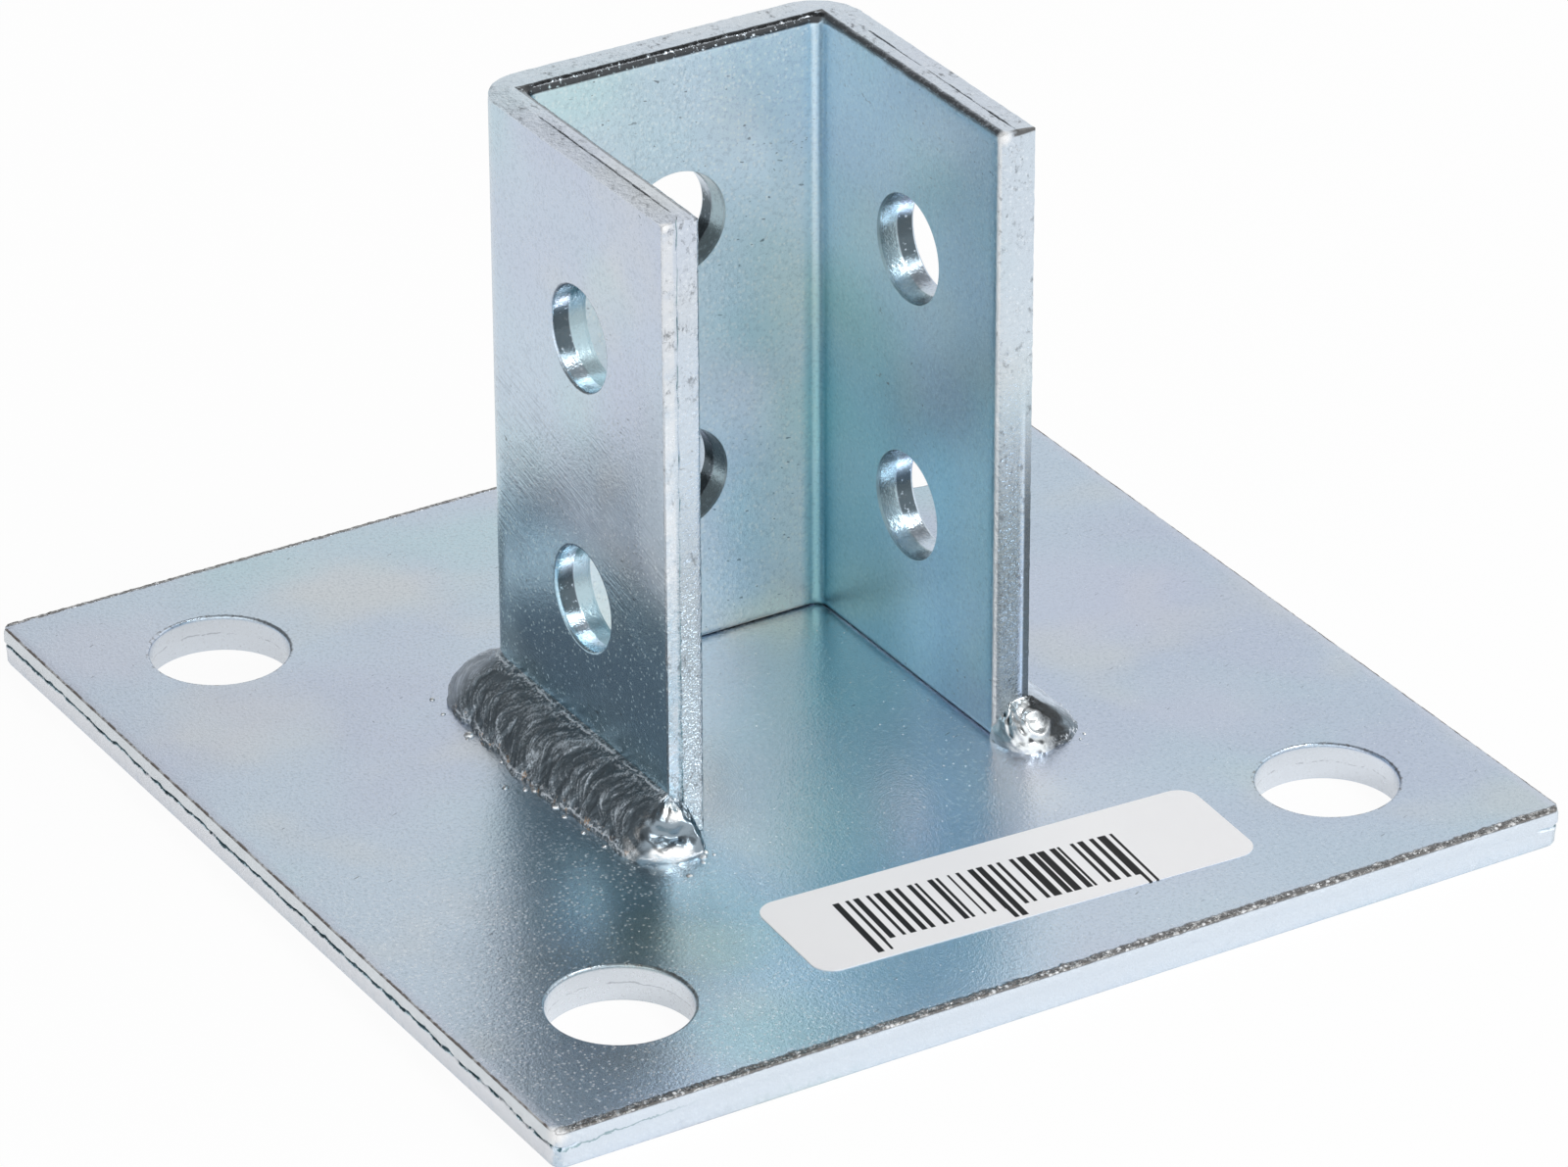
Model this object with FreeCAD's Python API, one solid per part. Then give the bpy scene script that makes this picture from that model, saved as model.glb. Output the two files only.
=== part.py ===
"""Post base for strut: a square anchor plate with a folded, punched channel welded upright on it."""
import FreeCAD, Part
import math
import os

V = FreeCAD.Vector
UP = V(0, 0, 1)

# Driving dimensions in millimetres.
# The origin is the centre of the plate's underside, +Z is up and the channel opens towards -Y.

# Anchor plate
PLATE_SIDE = 152.4
PLATE_STOCK = 5.56
PLATE_CORNER_RADIUS = 1.5
ANCHOR_HOLE_DIAMETER = 19.05
ANCHOR_HOLE_SPACING = 107.95

# Folded channel
CHANNEL_STOCK = 5.56
CHANNEL_HEIGHT = 88.9
SOCKET_WIDTH = 44.45
SOCKET_DEPTH = 44.45
BEND_INNER_RADIUS = 1.5
BOLT_HOLE_DIAMETER = 14.29
BOLT_HOLE_FIRST = 25.4
BOLT_HOLE_PITCH = 38.1
BOLT_HOLE_ROWS = 2

# Sheared edges: a rolled edge, a smooth land, then a break that leans in by a little
PLATE_ROLL = 0.8
PLATE_LAND = 3.0
PLATE_BREAK_STEP = 0.15
PLATE_BREAK_LEAN = 0.25
CHANNEL_ROLL = 1.1
CHANNEL_LAND = 2.8
CHANNEL_BREAK_LEAN = 0.3

# Punched holes: rolled on the side the punch enters, flared on the side it breaks through
PUNCH_ROLL = 0.45
PUNCH_ROLL_STEPS = 3
PUNCH_LAND = 2.7
PUNCH_FLARE = 0.5

# Fillet welds
WELD_PLATE_LEG = 7.8
WELD_CHANNEL_LEG = 6.6
WELD_CROWN = 1.3
WELD_CROWN_STEPS = 6
WELD_BACK_OVERRUN = 0.3
WELD_BACK_SWEEP = 150.0
WELD_WRAP_LEFT = 3.8
WELD_WRAP_RIGHT = 5.2
WELD_END = 2.8
WELD_ROOT = 0.8

# Paper label on the plate in front of the channel
LABEL_LENGTH = 65.0
LABEL_WIDTH = 19.0
LABEL_THICKNESS = 0.12
LABEL_CORNER_RADIUS = 3.0
LABEL_CENTRE_X = 4.2
LABEL_FRONT_MARGIN = 13.0
LABEL_TURN = -3.0

# How far a cutting tool runs past the face that it cuts, and how close two places are when they count as one
TOOL_OVERRUN = 2.0
SAME_PLACE = 1e-6

# Places that follow from the sizes above
PLATE_TOP = PLATE_STOCK
CHANNEL_TOP = PLATE_TOP + CHANNEL_HEIGHT
INNER_X = SOCKET_WIDTH / 2
OUTER_X = INNER_X + CHANNEL_STOCK
FRONT_Y = -SOCKET_DEPTH / 2
WEB_INNER_Y = SOCKET_DEPTH / 2
WEB_OUTER_Y = WEB_INNER_Y + CHANNEL_STOCK
BEND_OUTER_RADIUS = BEND_INNER_RADIUS + CHANNEL_STOCK


def round_rectangle(length, width, radius, z):
    """Closed wire of a rectangle with round corners, centred on the Z axis at height z."""
    a = length / 2 - radius
    b = width / 2 - radius
    edges = []
    for turn, (cx, cy) in enumerate(((a, b), (-a, b), (-a, -b), (a, -b))):
        start = turn * 90
        edges.append(Part.makeCircle(radius, V(cx, cy, z), UP, start, start + 90))
    corners = list(edges)
    for here, after in zip(corners, corners[1:] + corners[:1]):
        edges.append(Part.makeLine(here.lastVertex().Point, after.firstVertex().Point))
    return Part.Wire(Part.__sortEdges__(edges))


def punch(diameter, stock, entry, direction):
    """Solid that a punch removes: rolled rim, straight land and flared break, from entry along direction."""
    radius = diameter / 2
    rim = radius + PUNCH_ROLL
    exit_radius = radius + PUNCH_FLARE
    points = [V(0, 0, -TOOL_OVERRUN), V(rim, 0, -TOOL_OVERRUN)]
    for step in range(PUNCH_ROLL_STEPS + 1):
        turn = math.radians(90 * step / PUNCH_ROLL_STEPS)
        points.append(V(rim - PUNCH_ROLL * math.sin(turn), 0, PUNCH_ROLL * (1 - math.cos(turn))))
    points += [
        V(radius, 0, PUNCH_LAND),
        V(exit_radius, 0, stock),
        V(exit_radius, 0, stock + TOOL_OVERRUN),
        V(0, 0, stock + TOOL_OVERRUN),
        V(0, 0, -TOOL_OVERRUN),
    ]
    tool = Part.Face(Part.makePolygon(points)).revolve(V(0, 0, 0), UP, 360)
    tool.Placement = FreeCAD.Placement(entry, FreeCAD.Rotation(UP, direction))
    return tool


def base_plate():
    """Sheared plate: rolled top edge, upright land, a break that leans in below, and four anchor holes."""
    land_z = PLATE_TOP - PLATE_LAND
    outline = round_rectangle(PLATE_SIDE, PLATE_SIDE, PLATE_CORNER_RADIUS, land_z)
    land = Part.Face(outline).extrude(V(0, 0, PLATE_LAND))
    top_edges = [e for e in land.Edges if e.BoundBox.ZMin > PLATE_TOP - SAME_PLACE]
    land = land.makeFillet(PLATE_ROLL, top_edges)

    step_side = PLATE_SIDE - 2 * PLATE_BREAK_STEP
    foot_side = step_side - 2 * PLATE_BREAK_LEAN
    upper = round_rectangle(step_side, step_side, PLATE_CORNER_RADIUS, land_z)
    lower = round_rectangle(foot_side, foot_side, PLATE_CORNER_RADIUS, 0)
    fracture = Part.makeLoft([lower, upper], True, True)
    plate = land.fuse(fracture)

    reach = ANCHOR_HOLE_SPACING / 2
    for x in (-reach, reach):
        for y in (-reach, reach):
            plate = plate.cut(punch(ANCHOR_HOLE_DIAMETER, PLATE_STOCK, V(x, y, PLATE_TOP), -UP))
    return plate


def channel_outline(x, y_back, radius, z):
    """Open wire along one side of the channel's section: flange, bend, web, bend, flange."""
    y_bend = y_back - radius
    x_bend = x - radius
    front_left = V(-x, FRONT_Y, z)
    front_right = V(x, FRONT_Y, z)
    return [
        Part.makeLine(front_left, V(-x, y_bend, z)),
        Part.makeCircle(radius, V(-x_bend, y_bend, z), UP, 90, 180),
        Part.makeLine(V(-x_bend, y_back, z), V(x_bend, y_back, z)),
        Part.makeCircle(radius, V(x_bend, y_bend, z), UP, 0, 90),
        Part.makeLine(V(x, y_bend, z), front_right),
    ]


def channel_blank():
    """The folded strip with square edges: one section drawn in plan and raised to its height."""
    edges = channel_outline(OUTER_X, WEB_OUTER_Y, BEND_OUTER_RADIUS, PLATE_TOP)
    edges += channel_outline(INNER_X, WEB_INNER_Y, BEND_INNER_RADIUS, PLATE_TOP)
    for side in (-1, 1):
        inner = V(side * INNER_X, FRONT_Y, PLATE_TOP)
        outer = V(side * OUTER_X, FRONT_Y, PLATE_TOP)
        edges.append(Part.makeLine(inner, outer))
    section = Part.Face(Part.Wire(Part.__sortEdges__(edges)))
    return section.extrude(V(0, 0, CHANNEL_HEIGHT))


def is_rolled(edge):
    """True for the inner edges along the top, the foot and the two fronts of the channel."""
    box = edge.BoundBox
    across = max(-box.XMin, box.XMax) < INNER_X + SAME_PLACE
    inside = across and box.YMax < WEB_INNER_Y + SAME_PLACE
    level = box.ZLength < SAME_PLACE
    upright_front = box.XLength < SAME_PLACE and box.YMax < FRONT_Y + SAME_PLACE
    return inside and (level or upright_front)


def break_tools():
    """Thin wedges that lean the broken outer half of the top and front edges of the channel."""
    crease = CHANNEL_STOCK - CHANNEL_LAND
    low = CHANNEL_TOP - CHANNEL_BREAK_LEAN
    high = CHANNEL_TOP + TOOL_OVERRUN
    profile = Part.makePolygon([
        V(-OUTER_X + crease, FRONT_Y, CHANNEL_TOP),
        V(-OUTER_X, FRONT_Y, low),
        V(-OUTER_X - TOOL_OVERRUN, FRONT_Y, low),
        V(-OUTER_X - TOOL_OVERRUN, FRONT_Y, high),
        V(-OUTER_X + crease, FRONT_Y, high),
        V(-OUTER_X + crease, FRONT_Y, CHANNEL_TOP),
    ])
    path = Part.Wire(Part.__sortEdges__(channel_outline(OUTER_X, WEB_OUTER_Y, BEND_OUTER_RADIUS, low)))
    tools = [path.makePipeShell([profile], True, False)]

    for side in (-1, 1):
        wedge = Part.makePolygon([
            V(side * (OUTER_X - crease), FRONT_Y, PLATE_TOP),
            V(side * OUTER_X, FRONT_Y + CHANNEL_BREAK_LEAN, PLATE_TOP),
            V(side * (OUTER_X + TOOL_OVERRUN), FRONT_Y + CHANNEL_BREAK_LEAN, PLATE_TOP),
            V(side * (OUTER_X + TOOL_OVERRUN), FRONT_Y - TOOL_OVERRUN, PLATE_TOP),
            V(side * (OUTER_X - crease), FRONT_Y - TOOL_OVERRUN, PLATE_TOP),
            V(side * (OUTER_X - crease), FRONT_Y, PLATE_TOP),
        ])
        tools.append(Part.Face(wedge).extrude(V(0, 0, CHANNEL_HEIGHT)))
    return tools


def u_channel():
    """Folded channel: rolled inner edges, leaning outer breaks and a column of bolt holes in each wall."""
    channel = channel_blank()
    channel = channel.makeFillet(CHANNEL_ROLL, [e for e in channel.Edges if is_rolled(e)])
    for tool in break_tools():
        channel = channel.cut(tool)
    for row in range(BOLT_HOLE_ROWS):
        z = PLATE_TOP + BOLT_HOLE_FIRST + row * BOLT_HOLE_PITCH
        walls = (
            (V(-OUTER_X, 0, z), V(1, 0, 0)),
            (V(OUTER_X, 0, z), V(-1, 0, 0)),
            (V(0, WEB_OUTER_Y, z), V(0, -1, 0)),
        )
        for entry, inward in walls:
            channel = channel.cut(punch(BOLT_HOLE_DIAMETER, CHANNEL_STOCK, entry, inward))
    return channel


def weld_section():
    """Face of the bead's section, facing +X: plate leg, crowned face, upright side sunk in the flange."""
    toe = V(WELD_ROOT + WELD_PLATE_LEG, 0, 0)
    top = V(WELD_ROOT, 0, WELD_CHANNEL_LEG)
    chord = top - toe
    normal = V(WELD_CHANNEL_LEG, 0, WELD_PLATE_LEG).normalize()
    radius = (chord.Length ** 2 / 4 + WELD_CROWN ** 2) / (2 * WELD_CROWN)
    crown = (toe + top) * 0.5 + normal * WELD_CROWN
    centre = crown - normal * radius
    peak = V(0, 0, centre.z + math.sqrt(radius ** 2 - centre.x ** 2))
    face_line = Part.Arc(toe, crown, peak).toShape().discretize(WELD_CROWN_STEPS + 1)
    return Part.Face(Part.makePolygon([V(0, 0, 0)] + face_line + [V(0, 0, 0)]))


def placed(section, pivot, angle):
    """Copy of the section with its upright side on pivot, facing outwards at angle in plan."""
    copy = section.copy()
    copy.Placement = FreeCAD.Placement(pivot, FreeCAD.Rotation(UP, angle))
    return copy


def squeezed(shape, pivot, factor):
    """Shape made shorter along X by factor, towards pivot."""
    matrix = FreeCAD.Matrix()
    matrix.move(pivot * -1)
    matrix.scale(factor, 1, 1)
    matrix.move(pivot)
    return shape.transformGeometry(matrix)


def weld_bead(side, wrap, channel):
    """Fillet weld along one flange, domed behind it and turned round its front edge as far as wrap."""
    section = weld_section()
    back = V(-OUTER_X + WELD_ROOT, WEB_INNER_Y + WELD_BACK_OVERRUN, PLATE_TOP)
    front = V(-OUTER_X + WELD_ROOT, FRONT_Y + WELD_ROOT, PLATE_TOP)
    end = V(-OUTER_X + wrap - WELD_END, front.y, PLATE_TOP)
    cap = placed(section, end, 270).revolve(end, UP, 90)
    pieces = [
        placed(section, back, 180).revolve(back, UP, -WELD_BACK_SWEEP),
        placed(section, back, 180).extrude(front - back),
        placed(section, front, 180).revolve(front, UP, 90),
        placed(section, front, 270).extrude(end - front),
        squeezed(cap, end, WELD_END / (WELD_ROOT + WELD_PLATE_LEG)),
    ]
    bead = pieces[0].multiFuse(pieces[1:]).removeSplitter()
    if side > 0:
        bead = bead.mirror(V(0, 0, 0), V(1, 0, 0))
    return bead.cut(channel)


def paper_label():
    """Thin label with round corners, stuck on the plate a little askew."""
    outline = round_rectangle(LABEL_LENGTH, LABEL_WIDTH, LABEL_CORNER_RADIUS, 0)
    label = Part.Face(outline).extrude(V(0, 0, LABEL_THICKNESS))
    centre_y = -PLATE_SIDE / 2 + LABEL_FRONT_MARGIN + LABEL_WIDTH / 2
    centre = V(LABEL_CENTRE_X, centre_y, PLATE_TOP)
    label.Placement = FreeCAD.Placement(centre, FreeCAD.Rotation(UP, LABEL_TURN))
    return label


def main():
    channel = u_channel()
    nodes = {
        "base_plate": base_plate(),
        "u_channel": channel,
        "weld_bead_left": weld_bead(-1, WELD_WRAP_LEFT, channel),
        "weld_bead_right": weld_bead(1, WELD_WRAP_RIGHT, channel),
        "paper_label": paper_label(),
    }
    os.makedirs("parts", exist_ok=True)
    for name, shape in nodes.items():
        if shape.ShapeType == "Compound" and len(shape.Solids) == 1:
            shape = shape.Solids[0]
        shape.exportStep(f"parts/{name}.step")
        print(name, len(shape.Solids), "solid", shape.isValid(), round(shape.Volume, 1), shape.BoundBox)


main()
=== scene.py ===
# %% [markdown]
# # A welded post base, dressed for a studio picture
#
# The part is a square steel plate with a folded channel welded upright on it, all of it zinc plated.
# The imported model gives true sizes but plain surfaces. This lesson models each piece again at those sizes,
# with the ragged sheared edges, punched holes and rippled welds that the real one has, and then plates it.

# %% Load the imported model
import bmesh
import bpy
import math
from mathutils import Matrix, Vector, noise


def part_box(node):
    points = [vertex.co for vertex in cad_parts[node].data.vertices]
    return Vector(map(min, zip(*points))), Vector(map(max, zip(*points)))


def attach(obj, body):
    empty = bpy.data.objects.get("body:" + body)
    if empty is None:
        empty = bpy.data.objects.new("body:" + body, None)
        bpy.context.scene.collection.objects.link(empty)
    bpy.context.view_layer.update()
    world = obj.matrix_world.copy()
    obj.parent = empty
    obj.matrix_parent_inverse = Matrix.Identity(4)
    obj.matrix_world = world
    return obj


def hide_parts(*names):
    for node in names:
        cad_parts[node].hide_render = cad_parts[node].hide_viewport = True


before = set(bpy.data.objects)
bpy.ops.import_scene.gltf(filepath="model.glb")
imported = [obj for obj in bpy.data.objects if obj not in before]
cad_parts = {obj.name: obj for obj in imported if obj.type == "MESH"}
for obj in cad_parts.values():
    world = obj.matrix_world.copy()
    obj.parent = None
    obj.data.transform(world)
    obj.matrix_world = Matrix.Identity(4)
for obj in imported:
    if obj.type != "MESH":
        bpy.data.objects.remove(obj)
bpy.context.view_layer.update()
print("nodes:", sorted(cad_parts))

# %% [markdown]
# ## Sizes
#
# Blender works in metres, and a maker of brackets thinks in millimetres. Every size below is in millimetres
# and is turned into metres only where an operator needs it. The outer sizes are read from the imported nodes,
# so the new pieces can't drift away from them.

# %% Sizes in millimetres
MM = 0.001


def node_box(name):
    """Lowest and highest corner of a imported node, in millimetres."""
    low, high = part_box(name)
    return low / MM, high / MM


plate_low, plate_high = node_box("base_plate")
channel_low, channel_high = node_box("u_channel")
PLATE_SIDE = plate_high.x - plate_low.x
PLATE_TOP = plate_high.z
CHANNEL_TOP = channel_high.z
OUTER_X = channel_high.x
WEB_OUTER_Y = channel_high.y
FRONT_Y = channel_low.y
STOCK = PLATE_TOP
INNER_X = OUTER_X - STOCK
WEB_INNER_Y = WEB_OUTER_Y - STOCK
print(f"plate {PLATE_SIDE:.1f} square and {PLATE_TOP:.2f} thick, channel {CHANNEL_TOP - PLATE_TOP:.1f} tall")

# %% [markdown]
# ## Hand tools
#
# Blender's operators act on whatever is selected, so each step first says what that is. `only` picks one
# object, `edit` opens it, and `pick` selects points, edges or faces by their place. `mark` keeps a set of
# points as a vertex group, so that a later modifier can find them again, and `roughen` shakes such a group
# with a cloud texture, which gives the uneven line of a real cut.


# %% Hand tools for selecting
def only(obj=None):
    """Leave edit mode, deselect everything and make obj the one selected object."""
    if bpy.context.object and bpy.context.object.mode != "OBJECT":
        bpy.ops.object.mode_set(mode="OBJECT")
    bpy.ops.object.select_all(action="DESELECT")
    bpy.context.view_layer.objects.active = obj
    if obj:
        obj.select_set(True)


def edit(obj):
    """Open obj in edit mode with nothing selected."""
    only(obj)
    bpy.ops.object.mode_set(mode="EDIT")
    bpy.ops.mesh.select_all(action="DESELECT")


def pick(obj, kind, test):
    """In edit mode, select just the points, edges or faces whose points all pass the test in millimetres."""
    bpy.ops.mesh.select_mode(type=kind)
    bpy.ops.mesh.select_all(action="DESELECT")
    mesh = bmesh.from_edit_mesh(obj.data)
    passed = {v for v in mesh.verts if test(v.co / MM)}
    found = 0
    for item in {"VERT": mesh.verts, "EDGE": mesh.edges, "FACE": mesh.faces}[kind]:
        points = [item] if kind == "VERT" else item.verts
        if all(v in passed for v in points):
            item.select_set(True)
            found += 1
    mesh.select_flush_mode()
    bmesh.update_edit_mesh(obj.data)
    return found


def shift(x=0.0, y=0.0, z=0.0):
    """Move what is selected, in millimetres."""
    bpy.ops.transform.translate(value=(x * MM, y * MM, z * MM))


# %% Hand tools for finishing
def apply(obj, modifier):
    """Make a modifier's work part of the mesh."""
    only(obj)
    bpy.ops.object.modifier_apply(modifier=modifier.name)


def mark(obj, name, weight):
    """Vertex group of the points where weight(place in millimetres) is above zero."""
    group = obj.vertex_groups.new(name=name)
    count = 0
    for v in obj.data.vertices:
        amount = weight(v.co / MM)
        if amount > 0:
            group.add([v.index], amount, "REPLACE")
            count += 1
    print(f"  {obj.name}: {count} points in {name}")


def roughen(obj, group, grain, height, direction, level=0.5, depth=2):
    """Displace a vertex group by clouds of the given grain and height, in millimetres."""
    clouds = bpy.data.textures.new(f"{obj.name}_{group}", "CLOUDS")
    clouds.noise_scale = grain * MM
    clouds.noise_depth = depth
    ragged = obj.modifiers.new(group, "DISPLACE")
    ragged.texture = clouds
    ragged.texture_coords = "LOCAL"
    ragged.vertex_group = group
    ragged.direction = direction
    ragged.strength = height * MM
    ragged.mid_level = level
    apply(obj, ragged)


def settle(obj, angle=38):
    """Merge doubles, turn the faces outwards and shade the rolled edges smooth against the flat faces."""
    edit(obj)
    bpy.ops.mesh.select_all(action="SELECT")
    bpy.ops.mesh.remove_doubles(threshold=0.002 * MM)
    bpy.ops.mesh.normals_make_consistent(inside=False)
    only(obj)
    bpy.ops.object.shade_smooth_by_angle(angle=math.radians(angle))
    even = obj.modifiers.new("even", "WEIGHTED_NORMAL")
    even.weight = 100
    even.keep_sharp = True
    apply(obj, even)
    print(f"{obj.name}: {len(obj.data.vertices)} points, {len(obj.data.polygons)} faces")


# %% [markdown]
# ## The punch
#
# A punched hole isn't a plain cylinder. The punch rolls the rim over where it enters, burnishes a smooth
# land, and then the slug breaks out and leaves a rougher flare. A boolean with a cylinder would lose all of
# that, so the cutter has the hole's own profile: a disc, extruded ring by ring and scaled at each ring. One
# ring is shaken before the cut, because the slug never breaks along an even line.

# %% A punch with the hole's own profile
PUNCH_ROLL = 0.45
PUNCH_LAND = 2.7
PUNCH_FLARE = 0.5
PUNCH_OVERRUN = 2.0
PUNCH_LIP = 0.1
PUNCH_SIDES = 112
ROLL_STEPS = 4


def roll_rows(radius):
    """Steps round a rolled edge, as pairs of how far in from the wall and how far down from the face."""
    turns = [math.radians(90 * k / ROLL_STEPS) for k in range(ROLL_STEPS + 1)]
    return [(radius * (1 - math.sin(t)), radius * (1 - math.cos(t))) for t in turns]


def extrude_rows(half, rows):
    """Extrude the selected face along rows of (inset, depth), narrowing it to half less each inset."""
    for (inset, depth), (next_inset, next_depth) in zip(rows, rows[1:]):
        step = (0, 0, (depth - next_depth) * MM)
        bpy.ops.mesh.extrude_region_move(TRANSFORM_OT_translate={"value": step})
        scale = (half - next_inset) / (half - inset)
        bpy.ops.transform.resize(value=(scale, scale, 1), center_override=(0, 0, 0))


def make_punch(diameter, entry, turn):
    """Cutter for one hole: it enters at entry along its own -Z, and turn lays that along the wall."""
    radius = diameter / 2
    wide = PUNCH_ROLL + PUNCH_LIP
    rows = [(-wide, -PUNCH_OVERRUN), (-wide, -PUNCH_LIP * 0.2)]
    rows += [(-inset, depth) for inset, depth in roll_rows(PUNCH_ROLL)[1:]]
    rows += [(0, PUNCH_LAND), (-0.12, PUNCH_LAND + 0.25), (-0.3, STOCK - 0.9), (-PUNCH_FLARE, STOCK)]
    rows += [(-PUNCH_FLARE, STOCK + PUNCH_OVERRUN)]
    only()
    bpy.ops.mesh.primitive_circle_add(
        vertices=PUNCH_SIDES, radius=(radius + wide) * MM, fill_type="NGON",
        location=(0, 0, PUNCH_OVERRUN * MM))
    cutter = bpy.context.object
    bpy.ops.object.transform_apply(location=True, rotation=True, scale=True)
    edit(cutter)
    bpy.ops.mesh.select_all(action="SELECT")
    extrude_rows(radius, rows)
    bpy.ops.mesh.select_all(action="SELECT")
    bpy.ops.mesh.normals_make_consistent(inside=False)
    only(cutter)
    mark(cutter, "break", lambda p: 1.0 if -PUNCH_LAND - 0.3 < p.z < -PUNCH_LAND + 0.1 else 0.0)
    cutter.data.transform(Matrix.Translation(Vector(entry) * MM) @ turn.to_4x4())
    through_wall = "XYZ"[max(range(3), key=lambda k: abs(turn.col[2][k]))]
    roughen(cutter, "break", 1.6, 0.7, through_wall, depth=3)
    return cutter


def punch_holes(obj, diameter, entries):
    """Cut a hole at each (place, turn), all of them in one stroke."""
    cutters = [make_punch(diameter, entry, turn) for entry, turn in entries]
    only(cutters[0])
    for cutter in cutters:
        cutter.select_set(True)
    bpy.ops.object.join()
    gang = bpy.context.object
    cut = obj.modifiers.new("punch", "BOOLEAN")
    cut.operation = "DIFFERENCE"
    cut.solver = "EXACT"
    cut.object = gang
    apply(obj, cut)
    bpy.data.objects.remove(gang)
    print(f"{obj.name}: {len(entries)} holes of {diameter:.2f} punched")


# %% [markdown]
# ## The anchor plate
#
# The plate was cut from flat bar. Its left and right sides were sheared: a rolled top, a smooth land, a torn
# line near the middle and a rough break below. The front and back are the bar's own edges, flatter but with
# a rough rim. A bevelled cube would only give the roll, so the plate starts as its top face, with many points
# round the outline, and its edge is extruded downwards row by row, each row a little further in or out. The
# rows are then shaken by cloud textures. A ring is inset in the top before that, so that a shaken rim can't
# make the whole top sag.

# %% The plate's top face, with points along its outline
PLATE_ROLL = 0.25
PLATE_CORNER = 1.5
OUTLINE_CUTS = 17


def start_plane(name, length, width, z):
    """A flat sheet of the given size about the origin, at height z."""
    only()
    bpy.ops.mesh.primitive_plane_add(size=1, location=(0, 0, z * MM))
    obj = bpy.context.object
    obj.name = obj.data.name = name
    obj.scale = (length * MM, width * MM, 1)
    bpy.ops.object.transform_apply(location=True, rotation=True, scale=True)
    return obj


top_side = PLATE_SIDE - 2 * PLATE_ROLL
plate = start_plane("sheared_plate", top_side, top_side, PLATE_TOP)
edit(plate)
bpy.ops.mesh.select_all(action="SELECT")
bpy.ops.mesh.bevel(offset=PLATE_CORNER * MM, segments=5, affect="VERTICES")
straight = top_side / 2 - PLATE_CORNER + 0.01
for cuts in range(2):
    pick(plate, "EDGE", lambda p: abs(p.x) < straight or abs(p.y) < straight)
    bpy.ops.mesh.subdivide(number_cuts=OUTLINE_CUTS)
print("outline points:", len(bmesh.from_edit_mesh(plate.data).verts))

# %% The plate's sheared edge, row by row
RIM = PLATE_SIDE / 2
RIM_FLAT = 1.25
TORN_DEPTH = 2.4
TORN_IN = 0.3
TORN_Z = PLATE_TOP - TORN_DEPTH
BAR_TORN_IN = 0.06
bpy.ops.mesh.select_mode(type="FACE")
bpy.ops.mesh.select_all(action="SELECT")
plate_rows = roll_rows(PLATE_ROLL)
plate_rows += [(0, 1.0), (0, TORN_DEPTH - 0.45), (TORN_IN, TORN_DEPTH), (0.08, TORN_DEPTH + 0.4)]
plate_rows += [(0.12, 3.5), (0.16, 4.4), (0.2, PLATE_TOP - 0.3), (0.42, PLATE_TOP)]
extrude_rows(RIM, plate_rows)
pick(plate, "FACE", lambda p: p.z > PLATE_TOP - 0.001)
bpy.ops.mesh.inset(thickness=RIM_FLAT * MM)


def in_groove(p):
    return abs(p.z - TORN_Z) < 0.05


for sign in (-1, 1):
    pick(plate, "VERT", lambda p: sign * p.y > RIM - 1 and in_groove(p) and abs(p.x) < RIM - 4)
    shift(y=sign * (TORN_IN - BAR_TORN_IN))
bpy.ops.mesh.select_all(action="SELECT")
bpy.ops.mesh.normals_make_consistent(inside=False)
only(plate)
print("rows down the edge:", len(plate_rows))

# %% Punch the anchor holes
ANCHOR_HOLE = 19.05
ANCHOR_REACH = 107.95 / 2
down = Matrix.Identity(3)
corners = [(x, y) for x in (-ANCHOR_REACH, ANCHOR_REACH) for y in (-ANCHOR_REACH, ANCHOR_REACH)]
punch_holes(plate, ANCHOR_HOLE, [((x, y, PLATE_TOP), down) for x, y in corners])

# %% The torn line and the rough break
EDGE_DEPTH = 1.2


def at_rim(p):
    """True on the plate's outer edge, and not in a hole."""
    return max(abs(p.x), abs(p.y)) > RIM - EDGE_DEPTH


def torn(p):
    return 1.0 if at_rim(p) and abs(p.z - TORN_Z) < 0.5 else 0.0


def broken(p):
    return 1.0 if at_rim(p) and 0.1 < p.z < TORN_Z + 0.3 else 0.0


def rolled(p):
    return 1.0 if at_rim(p) and p.z > PLATE_TOP - PLATE_ROLL - 0.05 else 0.0


mark(plate, "torn", torn)
mark(plate, "groove", lambda p: 1.0 if abs(p.x) > RIM - EDGE_DEPTH and in_groove(p) else 0.0)
mark(plate, "broken", broken)
mark(plate, "rolled", rolled)
mark(plate, "rough_rim", lambda p: rolled(p) if abs(p.y) > RIM - EDGE_DEPTH else 0.0)
roughen(plate, "torn", 9.0, 0.7, "Z")
roughen(plate, "torn", 2.0, 0.9, "Z", depth=3)
roughen(plate, "broken", 0.9, 0.16, "NORMAL", level=1.0)
roughen(plate, "rolled", 1.1, 0.12, "NORMAL", level=1.0)
roughen(plate, "rough_rim", 0.8, 0.3, "NORMAL", level=1.0, depth=3)
settle(plate)

# %% [markdown]
# ## The folded channel
#
# The channel is one strip of the same stock, punched and folded into a U. It could be cut from a block, but
# it is easier to follow the fold: a short piece of the left flange's section is extruded back, spun round the
# first bend, extruded across the web, spun again and brought forward. That plan is then raised to its height.

# %% The plan of the channel: extrude, spin, extrude, spin, extrude
BEND = 1.5
END_STEP = 1.5
SECTION_PARTS = 4
WALL_STEPS = 40
BEND_STEPS = 12

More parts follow.
